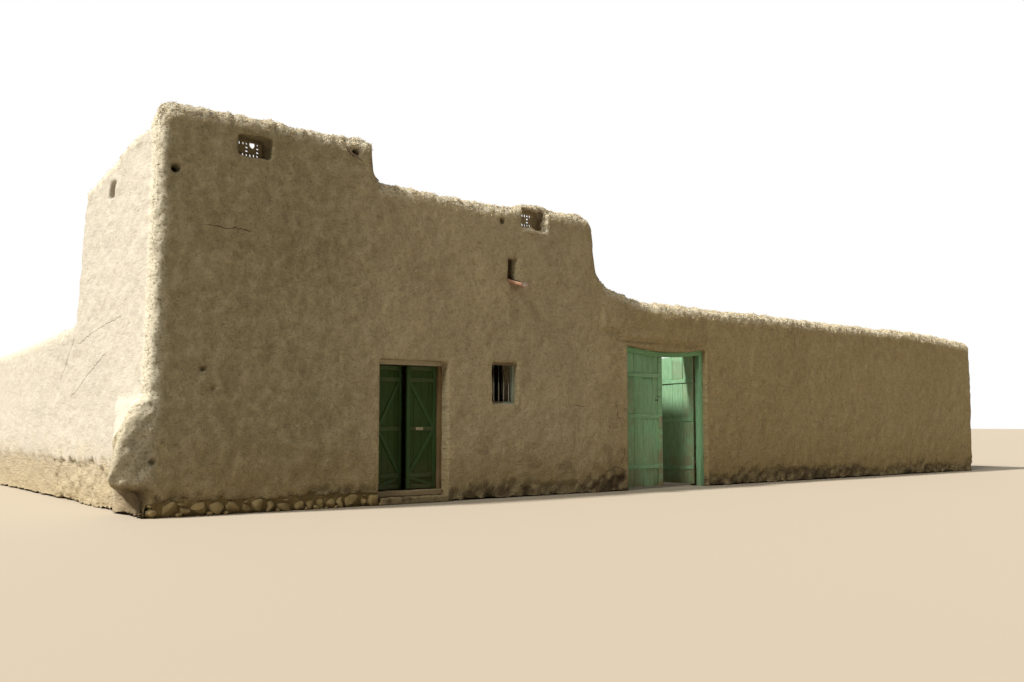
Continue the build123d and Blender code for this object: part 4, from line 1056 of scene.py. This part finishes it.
def hinge_straps(name, heights, matrix, body):
    """The long straps on the back of a leaf, with their eyes round the pins."""
    bm = bmesh.new()
    for at in heights:
        plank(bm, (STRAP_FROM, STRAP_BACK, at), (STRAP_TO, STRAP_BACK, at), (0, 0, 0.019), (0, 0.004, 0),
              edge=0.0015)
        rings = []
        for z in (at - EYE_HALF_HEIGHT, at + EYE_HALF_HEIGHT):
            for radius in EYE_RADII:
                rings.append([bm.verts.new((radius * math.cos(a), radius * math.sin(a), z))
                              for a in [math.pi * i / 10 for i in range(20)]])
        low_out, low_in, high_out, high_in = rings
        for i in range(20):
            j = (i + 1) % 20
            for first, second in ((low_out, high_out), (high_out, high_in),
                                  (high_in, low_in), (low_in, low_out)):
                bm.faces.new((first[i], first[j], second[j], second[i]))
        for x in STRAP_NAILS:
            rod(bm, [(x, -0.0135, at), (x, -0.0095, at)], (0.006, 0.004), 8)
    bm.transform(matrix)
    finished(name, bm, iron_finish, body)


# Door
# Two dark green leaves of boards under rails and braces; the left one stands a little open.
DOOR_HINGES = (0.430, 1.760)
DOOR_RAILS = (0.232, 0.400, 1.100, 1.840, 2.013)
DOOR_BOARDS = (0.0, 0.125, 0.262, 0.393)
DOOR_STILE, DOOR_RAIL, DOOR_BRACE = 0.058, 0.066, 0.026
DOOR_BOARD_FACE, DOOR_TRIM_BACK, DOOR_STILE_FACE, DOOR_RAIL_FACE = -0.042, -0.043, -0.062, -0.0615
DOOR_LEFT_OPEN = 14
# The height of each brace at the hinge and at the far stile; it runs down from its higher end.
DOOR_BRACES = ((1.140, 1.800), (1.060, 0.440), (0.250, 0.365))
DOOR_PAINT = (0.026, 0.050, 0.010, 1)
DOOR_RAIL_PAINT = (0.034, 0.069, 0.020, 1)
DOOR_DUST = (0.115, 0.080, 0.038, 1)
door_board_finish = wood_material("door_boards", DOOR_PAINT, (0.10, 0.08, 0.04, 1), DOOR_DUST,
                                  ALONG_Z, 0.12, 0.75)
door_rail_finish = wood_material("door_rails", DOOR_RAIL_PAINT, (0.15, 0.12, 0.07, 1), DOOR_DUST,
                                 ALONG_X, 0.16, 0.50)


def door_leaf(name, joint_name, turned, mirrored, body):
    """One leaf of the door."""
    matrix = leaf_place(joint_name, turned, mirrored)
    width = leaf_width("door_left_hinge", "door_right_hinge")
    low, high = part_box(name)
    dice = random.Random(name)
    boards = bmesh.new()
    edges = [LEAF_START + x for x in DOOR_BOARDS] + [LEAF_START + width]
    for x0, x1 in zip(edges, edges[1:]):
        face_at = DOOR_BOARD_FACE - dice.uniform(0, 0.002)
        upright(boards, x0 + 0.0015, x1 - 0.0015, low.z, high.z, -HINGE_OUT, face_at, dice)
    boards.transform(matrix)
    finished(name + "_boards", boards, door_board_finish, body, [name])
    rails = bmesh.new()
    for x0 in (LEAF_START, LEAF_START + width - DOOR_STILE):
        upright(rails, x0, x0 + DOOR_STILE, low.z, high.z, DOOR_TRIM_BACK, DOOR_STILE_FACE, dice)
    x0, x1 = LEAF_START + DOOR_STILE, LEAF_START + width - DOOR_STILE
    for z in DOOR_RAILS:
        rail(rails, x0, x1, z, z, DOOR_RAIL, DOOR_TRIM_BACK, DOOR_RAIL_FACE, dice, bared=0.25)
    for z0, z1 in DOOR_BRACES:
        (xa, za), (xb, zb) = [(x0, z0), (x1, z1)] if z0 > z1 else [(x1, z1), (x0, z0)]
        run = Vector((xb - xa, 0, zb - za)).normalized()
        across = Vector((-run.z, 0, run.x)) * DOOR_BRACE
        plank(rails, (xa, -0.0515, za), (xb, -0.0515, zb), across, (0, 0.0085, 0), dice=dice)
    rails.transform(matrix)
    finished(name + "_rails", rails, door_rail_finish, body)
    hinge_straps(name + "_straps", DOOR_HINGES, matrix, body)
    return matrix


door_leaf("door_left_leaf", "door_left_hinge", DOOR_LEFT_OPEN, False, "door_left")
door_right_place = door_leaf("door_right_leaf", "door_right_hinge", 0, True, "door_right")


# Door hasp
# A worn pale plate and a staple on the middle rail of the right leaf.
HASP_COLOURS = ((0.36, 0.31, 0.20, 1), (0.14, 0.12, 0.07, 1))
pale_metal = speckled("worn_pale_plate", 60.0, 4.0, HASP_COLOURS, 0.6)
hasp = bmesh.new()
plank(hasp, (0.24, -0.0640, 1.10), (0.37, -0.0640, 1.10), (0, 0, 0.022), (0, 0.0015, 0), edge=0.001)
hasp.transform(door_right_place)
finished("door_hasp_plate", hasp, pale_metal, "door_right")
staple = bmesh.new()
rod(staple, [(0.395, -0.062, 1.10), (0.395, -0.078, 1.104), (0.415, -0.082, 1.10), (0.435, -0.078, 1.096),
             (0.435, -0.062, 1.10)], (0.004,) * 5, 8)
staple.transform(door_right_place)
finished("door_staple", staple, iron_finish, "door_right")


# Door frame and threshold
# Bare timbers set back in the mud reveal, with a pale head and a pale threshold worn by feet.
DOOR_JAMB, DOOR_HEAD = 0.062, 0.068
THRESHOLD_WORN = 0.004
BARE_WOOD = (0.30, 0.215, 0.125, 1)
DUST = (0.30, 0.225, 0.135, 1)
NO_DUST = -1.0
door_frame_finish = wood_material("door_frame_wood", (0.17, 0.115, 0.055, 1), BARE_WOOD, DUST,
                                  ALONG_Z, 0.3, 0.7)
door_head_finish = wood_material("door_head_wood", (0.40, 0.34, 0.23, 1), BARE_WOOD, DUST,
                                 ALONG_X, 0.2, NO_DUST)
threshold_finish = wood_material("threshold_wood", (0.30, 0.235, 0.140, 1), (0.36, 0.29, 0.18, 1), DUST,
                                 ALONG_X, 0.4, 0.6)


def frame_posts(node_name, jamb, top, dice):
    """The two posts of a frame, from its foot up to its head."""
    low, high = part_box(node_name)
    y = (low.y + high.y) / 2
    posts = bmesh.new()
    for x in (low.x + jamb / 2, high.x - jamb / 2):
        plank(posts, (x, y, low.z), (x, y, top), (jamb / 2, 0, 0), (0, (high.y - low.y) / 2, 0),
              edge=0.005, dice=dice, steps=10)
    return posts


low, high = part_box("door_frame")
door_dice = random.Random(3)
posts = frame_posts("door_frame", DOOR_JAMB, high.z - DOOR_HEAD, door_dice)
finished("door_frame_posts", posts, door_frame_finish, "building", ["door_frame"])
beam = bmesh.new()
beam_y, beam_z = (low.y + high.y) / 2, high.z - DOOR_HEAD / 2
plank(beam, (low.x, beam_y, beam_z), (high.x, beam_y, beam_z), (0, 0, DOOR_HEAD / 2),
      (0, (high.y - low.y) / 2, 0), edge=0.005, dice=door_dice, steps=12)
finished("door_frame_head", beam, door_head_finish, "building", ["door_frame"])

low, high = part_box("door_threshold")
middle = (low + high) / 2
threshold = bmesh.new()
plank(threshold, (low.x, middle.y, middle.z), (high.x, middle.y, middle.z),
      (0, 0, (high.z - low.z) / 2 - THRESHOLD_WORN), (0, (high.y - low.y) / 2, 0),
      edge=0.010, dice=random.Random(8), steps=14)
finished("worn_threshold", threshold, threshold_finish, "building", ["door_threshold"])


# Window
# A small unglazed window: a timber frame, still grey-green on the right and below, and worn bare elsewhere,
# four thin upright bars and a pale worn sill board.
WINDOW_BARS = (5.53, 5.63, 5.73, 5.83)
WINDOW_FRAME = 0.045
window_finish = wood_material("window_paint", (0.27, 0.31, 0.235, 1), (0.33, 0.28, 0.19, 1), DUST,
                              ALONG_Z, 0.35, NO_DUST)
window_bare = wood_material("window_bare_wood", (0.20, 0.150, 0.085, 1), (0.28, 0.22, 0.13, 1), DUST,
                            ALONG_X, 0.30, NO_DUST)
bar_finish = wood_material("worn_window_bars", (0.40, 0.40, 0.35, 1), (0.25, 0.20, 0.14, 1), DUST,
                           ALONG_Z, 0.10, NO_DUST)
sill_finish = wood_material("window_sill", (0.56, 0.52, 0.42, 1), (0.46, 0.40, 0.29, 1), DUST,
                            ALONG_X, 0.2, NO_DUST)
low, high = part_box("window_frame")
y = (low.y + high.y) / 2
depth = (0, (high.y - low.y) / 2, 0)
half = WINDOW_FRAME / 2
window_dice = random.Random(6)
timbers = bmesh.new()
for x in (low.x + half, high.x - half):
    plank(timbers, (x, y, low.z + WINDOW_FRAME), (x, y, high.z - WINDOW_FRAME), (half, 0, 0), depth,
          dice=window_dice)
for z in (low.z + half, high.z - half):
    plank(timbers, (low.x, y, z), (high.x, y, z), (0, 0, half), depth, dice=window_dice)
window_piece = finished("window_timbers", timbers, window_finish, "building", ["window_frame"])
window_piece.data.materials.append(window_bare)
for face in window_piece.data.polygons:
    face.material_index = int(face.center.x < (low.x + high.x) / 2 or face.center.z > high.z - WINDOW_FRAME)
bars = bmesh.new()
for x in WINDOW_BARS:
    at = place(x, 0, 0).x
    rod(bars, [(at, y, low.z + 0.02), (at + 0.002, y, (low.z + high.z) / 2), (at, y, high.z - 0.02)],
        (0.007,) * 3, 8)
finished("window_bars", bars, bar_finish, "building")
sill = bmesh.new()
plank(sill, (low.x - 0.005, low.y - 0.02, low.z + 0.004), (high.x + 0.005, low.y - 0.02, low.z + 0.004),
      (0, 0, 0.013), (0, 0.026, 0), dice=window_dice)
finished("window_sill", sill, sill_finish, "building")


# Gate
# Two light green leaves of wide boards under a bowed head, which their tops lap from behind.
# The right one sags on its hinges and stands open inwards.
GATE_HINGES = (0.480, 2.020)
GATE_BOARDS = (0.0, 0.227, 0.454, 0.700)
GATE_LEFT_RAILS = (0.395, 1.310, 2.050)
GATE_RIGHT_RAILS = (0.345, 1.255, 1.990)
GATE_SAG = 0.035
GATE_STILE, GATE_RAIL = 0.095, 0.070
GATE_BOARD_FACE, GATE_TRIM_BACK, GATE_STILE_FACE, GATE_RAIL_FACE = -0.045, -0.046, -0.068, -0.067
GATE_RIGHT_OPEN = 80
GATE_JAMB, GATE_HEAD, GATE_HEAD_DEPTH = 0.090, 0.085, 0.055
GATE_LAP = 0.075
GATE_DIP = 0.085
# Between these heights the paint has gone beside the left hinge, and below BARE_STILE_TOP on the stiles.
RUBBED_LOW, RUBBED_HIGH = 1.55, 2.0
BARE_STILE_TOP = 1.30
GATE_PAINT = (0.215, 0.415, 0.235, 1)
GATE_RAIL_PAINT = (0.220, 0.425, 0.240, 1)
GATE_BARE = (0.30, 0.235, 0.145, 1)
GATE_DUST = (0.235, 0.190, 0.105, 1)
gate_low, gate_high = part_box("gate_frame")
gate_half = (gate_high.x - gate_low.x) / 2
bow_radius = (gate_half ** 2 + GATE_DIP ** 2) / (2 * GATE_DIP)
gate_reach = (joint("gate_right_hinge")["pos_m"][0] - joint("gate_left_hinge")["pos_m"][0]) / 2 - LEAF_START


def follow_bow(bm, above, middle):
    """Lift what lies above a height to the bow of the soffit, which is lowest over the middle."""
    for vert in bm.verts:
        if vert.co.z > above:
            vert.co.z += (vert.co.x - middle) ** 2 / (2 * bow_radius)


def gate_leaf(name, joint_name, turned, mirrored, body, rails, sag, stretch, bare_top):
    """One leaf of the gate; where bare_top, two boards have lost their paint above the top rail."""
    matrix = leaf_place(joint_name, turned, mirrored)
    width = leaf_width("gate_left_hinge", "gate_right_hinge")
    low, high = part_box(name)
    dice = random.Random(name)
    board_finish = wood_material(name + "_board_paint", GATE_PAINT, GATE_BARE, GATE_DUST, ALONG_Z, 0.18, 1.00)
    rail_finish = wood_material(name + "_rail_paint", GATE_RAIL_PAINT, GATE_BARE, GATE_DUST,
                                stretch, 0.12, 0.5)
    boards = bmesh.new()
    edges = [LEAF_START + x for x in GATE_BOARDS] + [LEAF_START + width]
    top_rail = rails[-1] - sag * 0.3
    middle = LEAF_START + gate_reach + sag / width * bow_radius
    lowest = high.z + GATE_LAP - (middle - LEAF_START) ** 2 / (2 * bow_radius)
    for index, (x0, x1) in enumerate(zip(edges, edges[1:])):
        front = GATE_BOARD_FACE - dice.uniform(0, 0.003)
        foot = low.z + dice.uniform(0, 0.014)
        lost = bare_top and index < 2
        gap = 0.007 if lost and index == 0 else 0.002
        upright(boards, x0 + 0.002, x1 - 0.002, foot, top_rail, -HINGE_OUT, front, dice,
                bared=0.15 if index else 0.5)
        upright(boards, x0 + 0.002, x1 - gap, top_rail, lowest, -HINGE_OUT, front, dice,
                bared=0.35 if lost else 0.1)
    worn = boards.verts.layers.float["bared"]
    for vert in boards.verts:
        by_hinge = vert.co.x < LEAF_START + GATE_BOARDS[1]
        if not bare_top and by_hinge and RUBBED_LOW < vert.co.z < RUBBED_HIGH:
            vert[worn] = 0.55
    follow_bow(boards, lowest - 0.01, middle)
    boards.transform(matrix)
    finished(name + "_boards", boards, board_finish, body, [name])
    trim = bmesh.new()
    stile = LEAF_START + width - GATE_STILE
    for z0, z1, bared in ((low.z, BARE_STILE_TOP, 0.9), (BARE_STILE_TOP, lowest, 0.1)):
        upright(trim, stile, stile + GATE_STILE, z0, z1, GATE_TRIM_BACK, GATE_STILE_FACE, dice, bared=bared)
    follow_bow(trim, lowest - 0.01, middle)
    for z in rails:
        rail(trim, LEAF_START, stile - 0.001, z, z - sag * stile / width, GATE_RAIL,
             GATE_TRIM_BACK, GATE_RAIL_FACE, dice, bared=0.15)
    trim.transform(matrix)
    finished(name + "_rails", trim, rail_finish, body)
    hinge_straps(name + "_straps", GATE_HINGES, matrix, body)
    return matrix


gate_left_place = gate_leaf("gate_left_leaf", "gate_left_hinge", 0, False, "gate_left",
                            GATE_LEFT_RAILS, 0.0, ALONG_X, False)
gate_right_place = gate_leaf("gate_right_leaf", "gate_right_hinge", GATE_RIGHT_OPEN, True, "gate_right",
                             GATE_RIGHT_RAILS, GATE_SAG, ALONG_Y, True)
gate_post_finish = wood_material("gate_post_paint", (0.210, 0.420, 0.240, 1), GATE_BARE, GATE_DUST,
                                 ALONG_Z, 0.12, 0.45)
gate_head_finish = wood_material("gate_head_paint", (0.170, 0.340, 0.170, 1), GATE_BARE, GATE_DUST,
                                 ALONG_X, 0.14, NO_DUST)
gate_dice = random.Random(5)
gate_middle = (gate_low.x + gate_high.x) / 2
head_low = gate_high.z - GATE_DIP - GATE_HEAD
posts = frame_posts("gate_frame", GATE_JAMB, head_low, gate_dice)
follow_bow(posts, head_low - 0.01, gate_middle)
finished("gate_frame_posts", posts, gate_post_finish, "building", ["gate_frame"])
beam = bmesh.new()
beam_y, beam_z = gate_low.y + GATE_HEAD_DEPTH / 2, head_low + GATE_HEAD / 2
plank(beam, (gate_low.x, beam_y, beam_z), (gate_high.x, beam_y, beam_z), (0, 0, GATE_HEAD / 2),
      (0, GATE_HEAD_DEPTH / 2, 0), edge=0.005, dice=gate_dice, steps=24)
follow_bow(beam, 0, gate_middle)
finished("gate_frame_head", beam, gate_head_finish, "building", ["gate_frame"])


# Gate hasp
# A staple and a hanging hasp on the left leaf, and its keeper on the right one.
for name, matrix, body, x in (("gate_hasp", gate_left_place, "gate_left", 0.80),
                              ("gate_keeper", gate_right_place, "gate_right", 0.86)):
    lock = bmesh.new()
    rod(lock, [(x, -0.046, 1.665), (x, -0.076, 1.668), (x + 0.022, -0.080, 1.665), (x + 0.044, -0.076, 1.662),
               (x + 0.044, -0.046, 1.665)], (0.005,) * 5, 8)
    plank(lock, (x - 0.03, -0.0485, 1.60), (x + 0.05, -0.0485, 1.60), (0, 0, 0.012), (0, 0.002, 0),
          edge=0.001)
    lock.transform(matrix)
    finished(name, lock, iron_finish, body)


# Rain spout
# A half-round fired clay channel with a chipped rim, which throws the roof's rain clear of the wall.
SPOUT_SLOPE = math.radians(16)
SPOUT_OUTER, SPOUT_INNER = 0.080, 0.066
SPOUT_CHIP = 0.010
SPOUT_STEPS, SPOUT_TURNS = 26, 22
CLAY_COLOURS = ((0.300, 0.150, 0.090, 1), (0.420, 0.280, 0.190, 1))
CHANNEL_SHADE_COLOURS = ((0.055, 0.035, 0.022, 1), (0.110, 0.070, 0.045, 1))
spout_low, spout_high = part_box("rain_spout")
spout_axis = Vector((0, -math.cos(SPOUT_SLOPE), -math.sin(SPOUT_SLOPE)))
spout_up = Vector((0, -math.sin(SPOUT_SLOPE), math.cos(SPOUT_SLOPE)))
spout_length = (spout_high.y - spout_low.y) / math.cos(SPOUT_SLOPE) - 0.015
spout_start = Vector(((spout_low.x + spout_high.x) / 2, spout_high.y - 0.005, spout_high.z - 0.001))


def fired_clay(name, colours):
    """Fired clay, worn paler in patches."""
    material, tree, shader = plain_material(name, 0.85)
    at = node(tree, "ShaderNodeTexCoord").outputs["Object"]
    worn = curve(noise(at, 14.0, 6.0, 0.7), 0.42, 0.68)
    tree.links.new(mix(worn, *colours), shader.inputs["Base Color"])
    emboss(shader, noise(at, 160.0, 4.0), 0.0015)
    return material


clay = bmesh.new()
walls = []
for radius in (SPOUT_OUTER, SPOUT_INNER):
    wall = []
    for i in range(SPOUT_STEPS + 1):
        row = []
        for j in range(SPOUT_TURNS + 1):
            angle = math.pi * (1 + j / SPOUT_TURNS)
            chip = SPOUT_CHIP * math.sin(5 * angle) * (i / SPOUT_STEPS) ** 8
            out = spout_start + spout_axis * (spout_length * i / SPOUT_STEPS - abs(chip))
            row.append(clay.verts.new(out + Vector((math.cos(angle), 0, 0)) * radius
                                      + spout_up * (math.sin(angle) * radius)))
        wall.append(row)
    walls.append(wall)
outer, inner = walls
for i in range(SPOUT_STEPS):
    for j in range(SPOUT_TURNS):
        clay.faces.new((outer[i][j], outer[i + 1][j], outer[i + 1][j + 1], outer[i][j + 1]))
        clay.faces.new((inner[i][j], inner[i][j + 1], inner[i + 1][j + 1], inner[i + 1][j]))
    for j in (0, SPOUT_TURNS):
        clay.faces.new((outer[i][j], inner[i][j], inner[i + 1][j], outer[i + 1][j]))
for j in range(SPOUT_TURNS):
    for i in (0, SPOUT_STEPS):
        clay.faces.new((outer[i][j], outer[i][j + 1], inner[i][j + 1], inner[i][j]))
dry_clay = fired_clay("terracotta", CLAY_COLOURS)
spout = finished("clay_spout", clay, dry_clay, "building", ["rain_spout"], 50)
# The inside of the channel is painted dark as painted shade.
spout.data.materials.append(fired_clay("terracotta_painted_shade_inside", CHANNEL_SHADE_COLOURS))
for face in spout.data.polygons:
    from_axis = face.center - spout_start
    from_axis -= spout_axis * from_axis.dot(spout_axis)
    if from_axis.length < (SPOUT_OUTER + SPOUT_INNER) / 2 and abs(face.normal.dot(spout_axis)) < 0.7:
        face.material_index = 1


# Stick and roof poles
# A peeled stick left in the wall near the tall end, and the round poles under the roof.
STICK_BENDS = (0.0, 0.004, -0.005, 0.003, 0.0)
STICK_RADII = (0.016, 0.016, 0.015, 0.013, 0.009)
peeled_wood = wood_material("peeled_pole", (0.075, 0.048, 0.026, 1), (0.11, 0.075, 0.045, 1), DUST,
                            ALONG_Y, 0.25, NO_DUST)
stick_low, stick_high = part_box("wall_stick")
stick_from = Vector((stick_low.x + 0.012, stick_high.y - 0.010, stick_high.z - 0.012))
stick_to = Vector((stick_high.x - 0.008, stick_low.y + 0.008, stick_low.z + 0.008))
stick = bmesh.new()
rod(stick, [stick_from.lerp(stick_to, i / 4) + Vector((bend, 0, bend)) for i, bend in enumerate(STICK_BENDS)],
    STICK_RADII, 10)
finished("peeled_stick", stick, peeled_wood, "building", ["wall_stick"])
frame["nodes"]["roof_poles"].data.materials.clear()
frame["nodes"]["roof_poles"].data.materials.append(peeled_wood)
